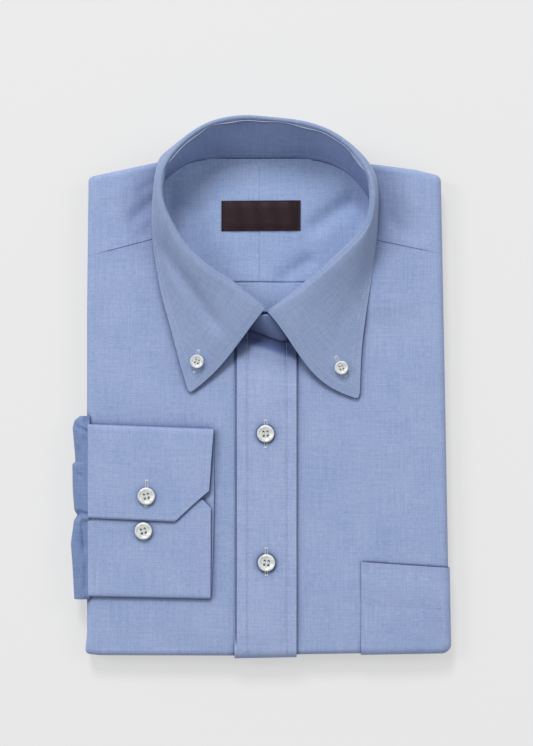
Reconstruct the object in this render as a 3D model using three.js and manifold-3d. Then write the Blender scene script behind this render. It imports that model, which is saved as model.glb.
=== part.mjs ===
// A long sleeve dress shirt with a button-down collar, pressed and folded flat with its front up.
// Sizes are millimetres: X across the shirt, Y towards the collar, Z up from the table it lies on.
// The origin is on the flat underside, on the centre line of the button placket.
// Right and left are the wearer's, so the right front lies at -X.
import * as THREE from 'three';
import { mergeVertices } from 'three/addons/utils/BufferGeometryUtils.js';
import Module from 'manifold-3d';

const wasm = await Module();
wasm.setup();

// Driving sizes
const SEAM_GAP = 0.3;
const CLOTH = 1.5;
const BODY_TOP = 18;
const FOLD_RADIUS = 4.2;
const FOLD_TURNS = [45, 90, 135, 180];
const TURN_UNDER = 2.6;
const SIDE_DROP = 1.4;
const END_DROP = 1.0;
const CELLS_ACROSS = 16;
const CELLS_ALONG = 22;
const HIDDEN_LAYERS = 3;
const LAYER_INSETS = [0.6, 1.9, 1.1];
const NOSE_ROUND = 1.1;

// The folded body seen from above: its corners in turn from the lower left, each with its round.
// Where the front starts to turn down, the corners have a share of that round.
const INNER_ROUND = 0.55;
const OUTLINE = [
  { x: -119.4, y: -163.6, round: 3 },
  { x: -114.0, y: -164.6, round: 0 },
  { x: -20.0, y: -164.8, round: 0 },
  { x: 32.0, y: -163.8, round: 0 },
  { x: 120.6, y: -162.4, round: 6 },
  { x: 120.0, y: -138.0, round: 0 },
  { x: 117.7, y: -10.0, round: 0 },
  { x: 114.6, y: 150.4, round: 3.4 },
  { x: 97.7, y: 154.6, round: 0 },
  { x: 68.0, y: 158.4, round: 0 },
  { x: -70.0, y: 159.8, round: 0 },
  { x: -117.0, y: 149.7, round: 3 },
  { x: -118.0, y: 60.0, round: 0 },
  { x: -118.0, y: -150.0, round: 0 },
];

// The collar, from the right front end round the back of the neck to the left front end.
// seam: where the stand is sewn to the neck; fold: where the leaf turns over; edge: the leaf's rim.
// puff: how far the roll stands off the straight line; fall: how fast it drops; bow: its bend in plan.
const COLLAR = [
  [[-0.4, 41.0, 21.4], [-0.6, 63.9, 27.0], [-50.8, 7.2, 20.8], 2.0, 2.4, 3.2],
  [[-27.3, 60.2, 21.0], [-21.9, 80.0, 30.0], [-56.6, 27.0, 20.8], 2.4, 2.0, 1.5],
  [[-44.5, 77.0, 20.2], [-39.3, 91.5, 34.0], [-62.6, 49.7, 20.8], 2.6, 1.7, 0],
  [[-60.5, 101.0, 19.3], [-53.5, 106.0, 37.0], [-69.3, 75.0, 20.8], 2.6, 1.4, 0],
  [[-69.9, 126.3, 18.9], [-66.2, 129.8, 41.0], [-75.0, 112.0, 20.8], 2.0, 1.1, 0],
  [[-68.2, 144.0, 18.9], [-67.2, 145.5, 42.0], [-74.5, 138.0, 20.6], 1.8, 1, 0],
  [[-60.0, 152.6, 18.7], [-62.5, 158.0, 42.0], [-69.5, 162.5, 17.0], 1.8, 1, 0],
  [[-48.5, 159.4, 17.4], [-50.7, 171.0, 41.0], [-54.0, 171.5, 3.0], 1.6, 1, 0],
  [[-33.0, 162.0, 12.6], [-36.0, 180.2, 40.4], [-37.0, 176.0, 0.7], 2.0, 1, 0],
  [[-17.0, 162.4, 11.0], [-17.6, 184.4, 40.0], [-17.0, 179.0, 0.6], 1.8, 1, 0],
  [[2.0, 162.4, 11.0], [3.0, 183.4, 40.0], [2.0, 179.5, 0.6], 1.4, 1, 0],
  [[24.0, 162.0, 11.4], [25.3, 180.2, 40.0], [24.0, 177.5, 0.6], 2.0, 1, 0],
  [[39.0, 159.2, 15.0], [41.5, 174.0, 40.6], [41.5, 173.0, 1.6], 2.0, 1, 0],
  [[53.0, 151.8, 18.6], [56.0, 162.2, 41.2], [60.0, 165.5, 9.0], 1.8, 1, 0],
  [[64.0, 140.0, 18.9], [65.0, 148.0, 42.0], [71.5, 150.0, 19.9], 1.8, 1, 0],
  [[70.2, 126.0, 18.9], [66.8, 129.0, 41.0], [73.0, 121.0, 20.8], 2.0, 1.1, 0],
  [[67.4, 110.6, 19.3], [62.1, 114.6, 38.0], [70.5, 94.8, 20.8], 2.6, 1.4, 0],
  [[49.5, 87.0, 20.2], [44.0, 96.0, 34.5], [65.5, 62.0, 20.8], 2.8, 1.7, 0],
  [[27.0, 67.0, 21.0], [22.0, 77.0, 30.5], [62.3, 36.0, 20.8], 2.6, 2.0, -3.0],
  [[0.4, 40.6, 21.4], [0.8, 61.2, 27.0], [60.9, 3.6, 20.8], 2.2, 2.4, -8.4],
].map(([seam, fold, edge, puff, fall, bow]) => ({ seam, fold, edge, puff, fall, bow }));
const STAND_WALL = 1.2;
const LEAF_WALL = 1.2;
const OVER_STAND = STAND_WALL + LEAF_WALL + SEAM_GAP;
const NECK_CENTRE_Y = 125;
const STATIONS_BETWEEN = 2;
const STAND_STEPS = 3;
const LEAF_STEPS = 7;

// The inside of the neck: for each place along the shirt, how far the inner cloth runs each way
const NECK_FLOOR = [
  { y: 46, right: -15, left: 14 },
  { y: 60, right: -33, left: 26 },
  { y: 81, right: -54, left: 50 },
  { y: 108, right: -70, left: 72 },
  { y: 126, right: -74, left: 75 },
  { y: 143, right: -72, left: 68 },
  { y: 152, right: -60, left: 55 },
  { y: 158, right: -50, left: 44 },
  { y: 164, right: -40, left: 33 },
];
const NECK_DEPTH = 9.2;
const NECK_CORNER_RISE = 5.2;
const NECK_FRONT_RISE = 2.2;
const NECK_COLUMNS = 12;
const YOKE_SPLIT_X = -4.5;
const YOKE_INNER_SEAM_Y = 81;

// Seams, placket and pocket on the front
const YOKE_SEAM = {
  right: [[-140, 91.8], [-77.5, 108.1], [-50, 115.3]],
  left: [[140, 94.1], [81.8, 106.1], [50, 112.8]],
};
const PLACKET = { right: -19.8, left: 19.7, top: 38 };
const POCKET = { side: 62, topInner: -102.8, topOuter: -106.8 };
const LABEL = { right: -29.7, left: 22.4, bottom: 114.5, top: 134.4, thick: 0.8 };

// The cuff, a band folded in two round its own width: rows from the outer end to the covered end
const CUFF_WALL = 1.2;
const CUFF_COLUMNS = 5;
const CUFF = [
  { y: -76.2, up: 4.7, right: -111, left: -60.0 },
  { y: -66.0, up: 4.7, right: -116.9, left: -48.5 },
  { y: -56.0, up: 4.7, right: -116.9, left: -37.4 },
  { y: -36.0, up: 4.7, right: -116.9, left: -36.0 },
  { y: -17.5, up: 4.7, right: -116.9, left: -34.6 },
  { y: -15.9, up: 4.0, right: -116.9, left: -34.5 },
  { y: -15.3, up: 2.5, right: -116.9, left: -34.5 },
  { y: -15.9, up: 1.0, right: -116.9, left: -34.4 },
  { y: -17.5, up: 0.3, right: -116.9, left: -34.3 },
  { y: -60.0, up: 0.3, right: -116.9, left: -34.3 },
  { y: -100.0, up: 0.3, right: -116.9, left: -35.0 },
  { y: -125.4, up: 0.3, right: -116.9, left: -36.2 },
  { y: -126.5, up: 0.9, right: -116.9, left: -36.5 },
  { y: -126.9, up: 1.75, right: -116.9, left: -36.6 },
  { y: -126.5, up: 2.6, right: -116.9, left: -36.6 },
  { y: -125.4, up: 3.2, right: -116.9, left: -36.6 },
  { y: -96.0, up: 3.2, right: -116.9, left: -36.4 },
  { y: -67.4, up: 3.2, right: -116.9, left: -36.3 },
  { y: -61.5, up: 3.2, right: -116.9, left: -42.2 },
];

// The sleeve comes out between the lower folds, turns up round the body's edge and meets the cuff.
// reach: how far it stands out; lift: how its top rises and dips in pleats
const SLEEVE_WALL = 2.2;
const SLEEVE = [
  { y: -7.4, reach: 122.8, lift: -1.2 },
  { y: -10.2, reach: 126.2, lift: 0.2 },
  { y: -15.0, reach: 127.4, lift: 0.4 },
  { y: -34.6, reach: 125.8, lift: -0.5 },
  { y: -37.6, reach: 125.8, lift: -0.6 },
  { y: -38.8, reach: 127.6, lift: 0.6 },
  { y: -55.0, reach: 127.4, lift: 0.4 },
  { y: -69.0, reach: 126.4, lift: -0.1 },
  { y: -72.4, reach: 124.4, lift: -1.5 },
  { y: -75.8, reach: 126.6, lift: -0.3 },
  { y: -91.0, reach: 128.6, lift: 0.3 },
  { y: -108.0, reach: 127.4, lift: 0 },
  { y: -127.2, reach: 126.4, lift: 0 },
];
const SLEEVE_SEAM_X = -117.6;
const SLEEVE_TOP = 20.4;
const SLEEVE_BOTTOM = 3.4;
const SLEEVE_TUCK_X = -109;

const BUTTON = { radius: 5.7, thick: 2.4, hole: 0.8, spread: 1.55 };
const COLLAR_BUTTON = { radius: 4.45, thick: 2.0, hole: 0.65, spread: 1.2 };

// Colours of the cloth and trim
const cloth = (colour) => new THREE.MeshStandardMaterial({ color: colour, roughness: 0.85, metalness: 0 });
const CLOTH_COLOUR = 0x96a8cc;
const INNER_COLOUR = 0x8a9bc4;
const LABEL_COLOUR = 0x322427;
const PEARL = 0xc8d0d4;

const shirt = new THREE.Group();

function addMesh(name, geometry, material) {
  const mesh = new THREE.Mesh(geometry, material);
  mesh.name = name;
  shirt.add(mesh);
}

// Triangles from a list of points and index triples
function solid(points, faces) {
  const geometry = new THREE.BufferGeometry();
  const numbers = points.flatMap((p) => [p.x, p.y, p.z]);
  geometry.setAttribute('position', new THREE.Float32BufferAttribute(numbers, 3));
  geometry.setIndex(faces.flat());
  return geometry;
}

function toManifold(geometry) {
  const bare = geometry.clone();
  bare.deleteAttribute('normal');
  bare.deleteAttribute('uv');
  const merged = mergeVertices(bare, 1e-4);
  return new wasm.Manifold(new wasm.Mesh({
    numProp: 3,
    vertProperties: new Float32Array(merged.attributes.position.array),
    triVerts: new Uint32Array(merged.index.array),
  }));
}

function fromManifold(manifold) {
  const mesh = manifold.getMesh();
  const geometry = new THREE.BufferGeometry();
  geometry.setAttribute('position', new THREE.Float32BufferAttribute(Array.from(mesh.vertProperties), 3));
  geometry.setIndex(Array.from(mesh.triVerts));
  return geometry;
}

// An upright prism over a plan outline, for cutting pieces apart along their seams
function prism(outline, low, high) {
  const shape = new THREE.Shape(outline.map(([x, y]) => new THREE.Vector2(x, y)));
  const geometry = new THREE.ExtrudeGeometry(shape, { depth: high - low, bevelEnabled: false });
  geometry.translate(0, 0, low);
  return toManifold(geometry);
}

// Above everything on the shirt
const HIGH = 60;

const lerp = THREE.MathUtils.lerp;
const smooth = (from, to, value) => THREE.MathUtils.smoothstep(value, from, to);

// A wall of cloth: a grid of points on its outer face, and the same points moved in by its thickness
function wall(grid, thickness) {
  const rows = grid.length;
  const columns = grid[0].length;
  const at = (i, j) => grid[THREE.MathUtils.clamp(i, 0, rows - 1)][THREE.MathUtils.clamp(j, 0, columns - 1)];
  const points = grid.flat().map((p) => p.clone());
  for (let i = 0; i < rows; i += 1) {
    for (let j = 0; j < columns; j += 1) {
      const along = at(i + 1, j).clone().sub(at(i - 1, j));
      const across = at(i, j + 1).clone().sub(at(i, j - 1));
      const normal = along.cross(across).normalize();
      points.push(at(i, j).clone().addScaledVector(normal, -thickness));
    }
  }
  const outer = (i, j) => i * columns + j;
  const inner = (i, j) => rows * columns + i * columns + j;
  const faces = [];
  const quad = (a, b, c, d) => faces.push([a, b, c], [a, c, d]);
  for (let i = 0; i < rows - 1; i += 1) {
    for (let j = 0; j < columns - 1; j += 1) {
      quad(outer(i, j), outer(i + 1, j), outer(i + 1, j + 1), outer(i, j + 1));
      quad(inner(i, j), inner(i, j + 1), inner(i + 1, j + 1), inner(i + 1, j));
    }
  }
  const lastColumn = columns - 1;
  for (let i = 0; i < rows - 1; i += 1) {
    quad(outer(i, 0), inner(i, 0), inner(i + 1, 0), outer(i + 1, 0));
    quad(outer(i, lastColumn), outer(i + 1, lastColumn), inner(i + 1, lastColumn), inner(i, lastColumn));
  }
  const lastRow = rows - 1;
  for (let j = 0; j < columns - 1; j += 1) {
    quad(outer(0, j), outer(0, j + 1), inner(0, j + 1), inner(0, j));
    quad(outer(lastRow, j), inner(lastRow, j), inner(lastRow, j + 1), outer(lastRow, j + 1));
  }
  return solid(points, faces);
}

// The height of the pressed front over any point of the table
function topHeight(x, y) {
  const side = Math.min(Math.abs(x) / 120, 1);
  const end = Math.min(Math.abs(y) / 165, 1);
  return BODY_TOP - SIDE_DROP * side ** 4 - END_DROP * end ** 6;
}

// The outline moved in by the fold's radius, to where the front starts to turn down
function innerOutline() {
  const count = OUTLINE.length;
  const outward = (from, to) => {
    const along = new THREE.Vector2(to.x - from.x, to.y - from.y).normalize();
    return new THREE.Vector2(along.y, -along.x);
  };
  return OUTLINE.map((corner, i) => {
    const before = outward(OUTLINE[(i + count - 1) % count], corner);
    const after = outward(corner, OUTLINE[(i + 1) % count]);
    const shift = before.clone().add(after).multiplyScalar(FOLD_RADIUS / (1 + before.dot(after)));
    return { x: corner.x - shift.x, y: corner.y - shift.y, round: corner.round * INNER_ROUND };
  });
}

// An outline walked round with its rounded corners, as four sides that meet half way round them
function outlineSides(outline) {
  const count = outline.length;
  const walk = [];
  outline.forEach((corner, i) => {
    const here = new THREE.Vector2(corner.x, corner.y);
    if (corner.round === 0) {
      walk.push({ point: here, corner: false });
      return;
    }
    const towards = ({ x, y }) => new THREE.Vector2(x, y).sub(here).normalize().multiplyScalar(corner.round);
    const start = here.clone().add(towards(outline[(i + count - 1) % count]));
    const end = here.clone().add(towards(outline[(i + 1) % count]));
    const pull = (from) => from.clone().lerp(here, 0.55);
    const curve = new THREE.CubicBezierCurve(start, pull(start), pull(end), end);
    curve.getPoints(8).forEach((point, k) => walk.push({ point, corner: k === 4 }));
  });
  const first = walk.findIndex((step) => step.corner);
  const sides = [];
  for (let k = 0; k <= walk.length; k += 1) {
    const { point, corner } = walk[(first + k) % walk.length];
    if (sides.length > 0) sides[sides.length - 1].push(point);
    if (corner && k < walk.length) sides.push([point]);
  }
  return sides;
}

// One side cut into a number of steps, closer together near the corners
function resample(side, steps) {
  const lengths = [0];
  for (let i = 1; i < side.length; i += 1) lengths.push(lengths[i - 1] + side[i].distanceTo(side[i - 1]));
  const total = lengths[lengths.length - 1];
  const result = [];
  for (let k = 0; k <= steps; k += 1) {
    const even = k / steps;
    const drawn = 0.3 * even + 0.7 * (0.5 - 0.5 * Math.cos(Math.PI * even));
    const target = drawn * total;
    let i = 1;
    while (i < side.length - 1 && lengths[i] < target) i += 1;
    const share = (target - lengths[i - 1]) / (lengths[i] - lengths[i - 1]);
    result.push(side[i - 1].clone().lerp(side[i], share));
  }
  return result;
}

// The rim of the body, counter-clockwise: points where the front starts to turn down, and which way
// is out, longer at the corners, where the fold reaches further
const RIM = (() => {
  const steps = [CELLS_ACROSS, CELLS_ALONG, CELLS_ACROSS, CELLS_ALONG];
  const loop = (outline) => outlineSides(outline).flatMap((side, k) => resample(side, steps[k]).slice(0, -1));
  const edge = loop(OUTLINE);
  return loop(innerOutline()).map((inner, i) => {
    const out = edge[i].clone().sub(inner).divideScalar(FOLD_RADIUS);
    return { inner, out, z: topHeight(inner.x, inner.y) };
  });
})();

// A grid of plan points inside the rim, row by row from the tail to the shoulders
const TOP_GRID = (() => {
  const bottom = (i) => RIM[i].inner;
  const right = (j) => RIM[CELLS_ACROSS + j].inner;
  const top = (i) => RIM[2 * CELLS_ACROSS + CELLS_ALONG - i].inner;
  const left = (j) => RIM[(2 * (CELLS_ACROSS + CELLS_ALONG) - j) % RIM.length].inner;
  const grid = [];
  for (let j = 0; j <= CELLS_ALONG; j += 1) {
    const row = [];
    for (let i = 0; i <= CELLS_ACROSS; i += 1) {
      const u = i / CELLS_ACROSS;
      const v = j / CELLS_ALONG;
      const point = new THREE.Vector2();
      point.addScaledVector(bottom(i), 1 - v).addScaledVector(top(i), v);
      point.addScaledVector(left(j), 1 - u).addScaledVector(right(j), u);
      point.addScaledVector(bottom(0), -(1 - u) * (1 - v));
      point.addScaledVector(bottom(CELLS_ACROSS), -u * (1 - v));
      point.addScaledVector(top(0), -(1 - u) * v);
      point.addScaledVector(top(CELLS_ACROSS), -u * v);
      row.push(point);
    }
    grid.push(row);
  }
  return grid;
})();

// Where the k-th rim point sits in the grid
function gridPlace(k) {
  if (k <= CELLS_ACROSS) return [0, k];
  if (k <= CELLS_ACROSS + CELLS_ALONG) return [k - CELLS_ACROSS, CELLS_ACROSS];
  if (k <= 2 * CELLS_ACROSS + CELLS_ALONG) return [CELLS_ALONG, 2 * CELLS_ACROSS + CELLS_ALONG - k];
  return [2 * (CELLS_ACROSS + CELLS_ALONG) - k, 0];
}

// A face over the whole grid at a height, as points and triangles that start at a given index
function gridFace(height, start, up) {
  const columns = CELLS_ACROSS + 1;
  const points = TOP_GRID.flat().map((p) => new THREE.Vector3(p.x, p.y, height(p.x, p.y)));
  const faces = [];
  const at = (j, i) => start + j * columns + i;
  for (let j = 0; j < CELLS_ALONG; j += 1) {
    for (let i = 0; i < CELLS_ACROSS; i += 1) {
      const quad = [at(j, i), at(j, i + 1), at(j + 1, i + 1), at(j + 1, i)];
      if (!up) quad.reverse();
      faces.push([quad[0], quad[1], quad[2]], [quad[0], quad[2], quad[3]]);
    }
  }
  return { points, faces, rim: RIM.map((_, k) => at(...gridPlace(k))) };
}

// Bands of triangles between loops of point numbers that follow each other outward and down
function bands(loops) {
  const faces = [];
  for (let s = 0; s < loops.length - 1; s += 1) {
    for (let k = 0; k < loops[s].length; k += 1) {
      const next = (k + 1) % loops[s].length;
      faces.push([loops[s][k], loops[s + 1][k], loops[s + 1][next]]);
      faces.push([loops[s][k], loops[s + 1][next], loops[s][next]]);
    }
  }
  return faces;
}

// The front cloth as one sheet over the body: top, round the edges and a little way under.
// outside and inside are how far its two faces lie off the pressed surface.
function wrappedSheet(outside, inside) {
  const top = gridFace((x, y) => topHeight(x, y) + outside, 0, true);
  const under = gridFace((x, y) => topHeight(x, y) + inside, top.points.length, false);
  const points = [...top.points, ...under.points];
  const loop = (offset, angle, inward) => RIM.map((rim) => {
    const turn = THREE.MathUtils.degToRad(angle);
    const radius = FOLD_RADIUS + offset;
    const plan = rim.inner.clone().addScaledVector(rim.out, radius * Math.sin(turn) - inward);
    points.push(new THREE.Vector3(plan.x, plan.y, rim.z - FOLD_RADIUS + radius * Math.cos(turn)));
    return points.length - 1;
  });
  const loops = [top.rim];
  for (const angle of FOLD_TURNS) loops.push(loop(outside, angle, 0));
  loops.push(loop(outside, 180, TURN_UNDER), loop(inside, 180, TURN_UNDER));
  for (const angle of FOLD_TURNS.toReversed()) loops.push(loop(inside, angle, 0));
  loops.push(under.rim);
  return toManifold(solid(points, [...top.faces, ...under.faces, ...bands(loops)]));
}

// The floor of the neck opening, dished up at the back corners where it meets the shoulder folds
function neckHeight(x, y) {
  const corner = smooth(30, 58, Math.abs(x + 3)) * smooth(128, 156, y);
  const front = 1 - smooth(50, 95, y);
  return NECK_DEPTH + NECK_CORNER_RISE * corner + NECK_FRONT_RISE * front;
}

function neckFloorGrid(spread, offset) {
  const rows = [];
  NECK_FLOOR.forEach((row, k) => {
    const y = row.y + (k === 0 ? -spread : 0) + (k === NECK_FLOOR.length - 1 ? spread : 0);
    const points = [];
    for (let j = 0; j <= NECK_COLUMNS; j += 1) {
      const x = lerp(row.left + spread, row.right - spread, j / NECK_COLUMNS);
      points.push(new THREE.Vector3(x, y, neckHeight(x, y) + offset));
    }
    rows.push(points);
  });
  return rows;
}

// A closed block between the neck floor moved to two heights
function neckBlock(spread, low, high, flatTop) {
  const upper = neckFloorGrid(spread, high);
  const lower = neckFloorGrid(spread, low);
  if (flatTop) upper.forEach((row) => row.forEach((p) => { p.z = high; }));
  const rows = upper.length;
  const columns = upper[0].length;
  const points = [...upper.flat(), ...lower.flat()];
  const up = (i, j) => i * columns + j;
  const down = (i, j) => rows * columns + i * columns + j;
  const faces = [];
  const quad = (a, b, c, d) => faces.push([a, b, c], [a, c, d]);
  for (let i = 0; i < rows - 1; i += 1) {
    for (let j = 0; j < columns - 1; j += 1) {
      quad(up(i, j), up(i + 1, j), up(i + 1, j + 1), up(i, j + 1));
      quad(down(i, j), down(i, j + 1), down(i + 1, j + 1), down(i + 1, j));
    }
  }
  const ring = [];
  for (let j = 0; j < columns; j += 1) ring.push([0, j]);
  for (let i = 1; i < rows; i += 1) ring.push([i, columns - 1]);
  for (let j = columns - 2; j >= 0; j -= 1) ring.push([rows - 1, j]);
  for (let i = rows - 2; i > 0; i -= 1) ring.push([i, 0]);
  ring.forEach((here, k) => {
    const next = ring[(k + 1) % ring.length];
    quad(up(...here), up(...next), down(...next), down(...here));
  });
  return toManifold(solid(points, faces));
}

// Folded inner layers: a core with a rounded, layered edge and a flat underside
function foldedLayers() {
  const inset = CLOTH + SEAM_GAP;
  const top = gridFace((x, y) => topHeight(x, y) - inset, 0, true);
  const points = [...top.points];
  const radius = FOLD_RADIUS - inset;
  const loop = (place) => RIM.map((rim) => {
    const { out, z } = place(rim);
    const plan = rim.inner.clone().addScaledVector(rim.out, out);
    points.push(new THREE.Vector3(plan.x, plan.y, z));
    return points.length - 1;
  });
  const loops = [top.rim];
  for (const angle of FOLD_TURNS) {
    const turn = THREE.MathUtils.degToRad(angle);
    const up = radius * Math.cos(turn) - FOLD_RADIUS;
    loops.push(loop((rim) => ({ out: radius * Math.sin(turn), z: rim.z + up })));
  }
  const shelf = TURN_UNDER + 2 * SEAM_GAP;
  loops.push(loop((rim) => ({ out: -shelf, z: rim.z - FOLD_RADIUS - radius })));
  const base = (rim) => rim.z - 2 * FOLD_RADIUS - SEAM_GAP;
  loops.push(loop((rim) => ({ out: -shelf, z: base(rim) })));
  for (let layer = 0; layer < HIDDEN_LAYERS; layer += 1) {
    const nose = FOLD_RADIUS - LAYER_INSETS[layer];
    const level = (rim, share) => base(rim) * (1 - (layer + share) / HIDDEN_LAYERS);
    loops.push(loop((rim) => ({ out: nose - NOSE_ROUND, z: level(rim, 0) })));
    loops.push(loop((rim) => ({ out: nose, z: level(rim, 0.3) })));
    loops.push(loop((rim) => ({ out: nose, z: level(rim, 0.7) })));
  }
  const foot = FOLD_RADIUS - LAYER_INSETS[HIDDEN_LAYERS - 1] - NOSE_ROUND;
  const last = loop(() => ({ out: foot, z: 0 }));
  loops.push(last);
  const contour = last.map((k) => new THREE.Vector2(points[k].x, points[k].y));
  const cap = THREE.ShapeUtils.triangulateShape(contour, []).map(([a, b, c]) => [last[a], last[c], last[b]]);
  const body = toManifold(solid(points, [...top.faces, ...bands(loops), ...cap]));
  const well = neckBlock(2 * SEAM_GAP, -CLOTH - SEAM_GAP, HIGH, true);
  const tuck = prism([
    [-140, SLEEVE[0].y + 2],
    [-140, SLEEVE[SLEEVE.length - 1].y - 2],
    [SLEEVE_TUCK_X + 2, SLEEVE[SLEEVE.length - 1].y - 2],
    [SLEEVE_TUCK_X + 2, SLEEVE[0].y + 2],
  ], SLEEVE_BOTTOM - 2 * SEAM_GAP, SLEEVE_BOTTOM + SLEEVE_WALL + 2 * SEAM_GAP);
  return body.subtract(well).subtract(tuck);
}

// The collar's stations with more drawn in between, on smooth curves through the table
function stations() {
  const keys = ['seam', 'fold', 'edge'];
  const curves = Object.fromEntries(keys.map((key) => [
    key,
    new THREE.CatmullRomCurve3(COLLAR.map((row) => new THREE.Vector3(...row[key])), false, 'centripetal'),
  ]));
  const steps = (COLLAR.length - 1) * STATIONS_BETWEEN;
  const result = [];
  for (let s = 0; s <= steps; s += 1) {
    const place = s / STATIONS_BETWEEN;
    const k = Math.min(Math.floor(place), COLLAR.length - 2);
    const mix = (key) => lerp(COLLAR[k][key], COLLAR[k + 1][key], place - k);
    const station = { puff: mix('puff'), fall: mix('fall'), bow: mix('bow') };
    for (const key of keys) station[key] = curves[key].getPoint(s / steps);
    result.push(station);
  }
  return result;
}

// The stand rises from the neck seam to just under the fold of the leaf
function standGrid() {
  return stations().map(({ seam, fold }) => {
    const row = [];
    for (let j = 0; j <= STAND_STEPS; j += 1) {
      const point = seam.clone().lerp(fold, j / STAND_STEPS);
      if (j === STAND_STEPS) point.z -= SEAM_GAP;
      row.push(point);
    }
    return row;
  });
}

// Away from the middle of the neck, level with the table
function outwards(point) {
  return point.clone().sub(new THREE.Vector3(0, NECK_CENTRE_Y, point.z)).setZ(0).normalize();
}

// The leaf turns over at the fold and falls outside the stand to its rim
function leafPoint({ fold, edge, puff, fall, bow }, t) {
  const chord = edge.clone().sub(fold);
  const flat = new THREE.Vector3(chord.x, chord.y, 0);
  const run = flat.length();
  const ahead = run > 9 ? flat.clone().divideScalar(run) : outwards(fold);
  const slope = chord.clone().normalize();
  const off = ahead.clone().multiplyScalar(-slope.z).setZ(slope.dot(ahead)).normalize();
  const side = new THREE.Vector3(-ahead.y, ahead.x, 0);
  const round = (t ** 0.5 * (1 - t) ** 1.3) / 0.413;
  const point = fold.clone().addScaledVector(flat, t);
  point.z = edge.z + (fold.z - edge.z) * (1 - t) ** fall;
  return point.addScaledVector(off, puff * round).addScaledVector(side, bow * Math.sin(Math.PI * t ** 1.5));
}

function leafGrid() {
  const lift = new THREE.Vector3(0, 0, LEAF_WALL);
  return stations().map((station) => {
    const out = outwards(station.fold);
    const stand = station.seam.clone().sub(station.fold).normalize();
    const fold = station.fold.clone().add(new THREE.Vector3(0, 0, STAND_WALL * Math.max(0, stand.dot(out))));
    const row = [fold.clone().add(lift)];
    const turned = { ...station, fold: fold.clone().addScaledVector(out, OVER_STAND) };
    for (let j = 0; j <= LEAF_STEPS; j += 1) row.push(leafPoint(turned, (j / LEAF_STEPS) ** 1.6).add(lift));
    return row;
  });
}

function cuffGrid() {
  return CUFF.map((row) => {
    const points = [];
    for (let j = 0; j <= CUFF_COLUMNS; j += 1) {
      const x = lerp(row.left, row.right, j / CUFF_COLUMNS);
      points.push(new THREE.Vector3(x, row.y, topHeight(x, row.y) + row.up));
    }
    return points;
  });
}

// Each row of the sleeve runs from the tuck under the body, round its edge, to the cuff seam
function sleeveGrid() {
  return SLEEVE.map(({ y, reach, lift }) => {
    const path = [
      [SLEEVE_SEAM_X, SLEEVE_TOP + 0.4 + 0.8 * lift],
      [-120.5, SLEEVE_TOP + lift],
      [-reach + 2.6, SLEEVE_TOP - 1.6 + lift],
      [-reach + 0.5, SLEEVE_TOP - 4.6 + lift],
      [-reach, 12],
      [-reach + 0.8, 7.4],
      [-reach + 3.4, 4.4],
      [-reach + 8, SLEEVE_BOTTOM],
      [SLEEVE_TUCK_X, SLEEVE_BOTTOM],
    ];
    return path.reverse().map(([x, z]) => new THREE.Vector3(x, y, z));
  });
}

// A sewn-through button: a dished disc with four holes
function button({ radius, thick, hole, spread }) {
  const profile = [
    [0, 0],
    [radius * 0.8, 0],
    [radius, thick * 0.45],
    [radius * 0.92, thick],
    [radius * 0.68, thick],
    [radius * 0.56, thick * 0.68],
    [0, thick * 0.62],
  ].map(([r, z]) => new THREE.Vector2(r, z));
  const disc = new THREE.LatheGeometry(profile, 18);
  disc.rotateX(Math.PI / 2);
  let body = toManifold(disc);
  for (const [sx, sy] of [[1, 1], [-1, 1], [-1, -1], [1, -1]]) {
    const pin = new THREE.CylinderGeometry(hole, hole, 3 * thick, 6);
    pin.rotateX(Math.PI / 2);
    pin.translate((sx * spread) / Math.SQRT2, (sy * spread) / Math.SQRT2, thick / 2);
    body = body.subtract(toManifold(pin));
  }
  return body;
}

const sheet = wrappedSheet(0, -CLOTH);
const overlay = wrappedSheet(SEAM_GAP + CLOTH, SEAM_GAP);
const neckFloor = neckBlock(0, -CLOTH, 0, false);
const neckRoom = neckBlock(SEAM_GAP, -CLOTH - SEAM_GAP, SEAM_GAP, false);

addMesh('folded_layers', fromManifold(foldedLayers()), cloth(INNER_COLOUR));

// The neck hole in the fronts and yokes runs just inside the collar seam, and out over the back edge
const SEAM_LAP = 1.4;
const HOLE_BACK_Y = 170;
const holeOutline = (() => {
  const centre = new THREE.Vector2(0, 120);
  const ring = COLLAR.filter((row) => row.seam[2] > BODY_TOP).map(({ seam }) => {
    const point = new THREE.Vector2(seam[0], seam[1]);
    return point.addScaledVector(centre.clone().sub(point).normalize(), SEAM_LAP);
  });
  const side = (sign) => ring.filter((p) => Math.sign(p.x) === sign).map((p) => [p.x, p.y]);
  return [...side(-1), [-56, HOLE_BACK_Y], [50, HOLE_BACK_Y], ...side(1)];
})();

// The pieces meet at seams, with half the gap on each side; their outer bounds clear the whole shirt
const half = SEAM_GAP / 2;
const raised = (line, by) => line.map(([x, y]) => [x, y + by]);
const WIDE = 200;
const LOW = -1;
const YOKE_FRONT_Y = 80;
const openSheet = sheet.subtract(prism(holeOutline, LOW, HIGH)).subtract(neckRoom);
const regions = {
  front_right: [
    [-half, -WIDE],
    [-half, 90],
    ...raised(YOKE_SEAM.right, -half).reverse(),
    [-WIDE, YOKE_FRONT_Y],
    [-WIDE, -WIDE],
  ],
  front_left: [
    [half, -WIDE],
    [WIDE, -WIDE],
    [WIDE, YOKE_FRONT_Y],
    ...raised(YOKE_SEAM.left, -half),
    [half, 90],
  ],
  yoke_right: [
    [-half, 125],
    [-half, WIDE],
    [-WIDE, WIDE],
    [-WIDE, YOKE_FRONT_Y + SEAM_GAP],
    ...raised(YOKE_SEAM.right, half),
  ],
  yoke_left: [
    [half, 125],
    ...raised(YOKE_SEAM.left, half).reverse(),
    [WIDE, YOKE_FRONT_Y + SEAM_GAP],
    [WIDE, WIDE],
    [half, WIDE],
  ],
};
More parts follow.
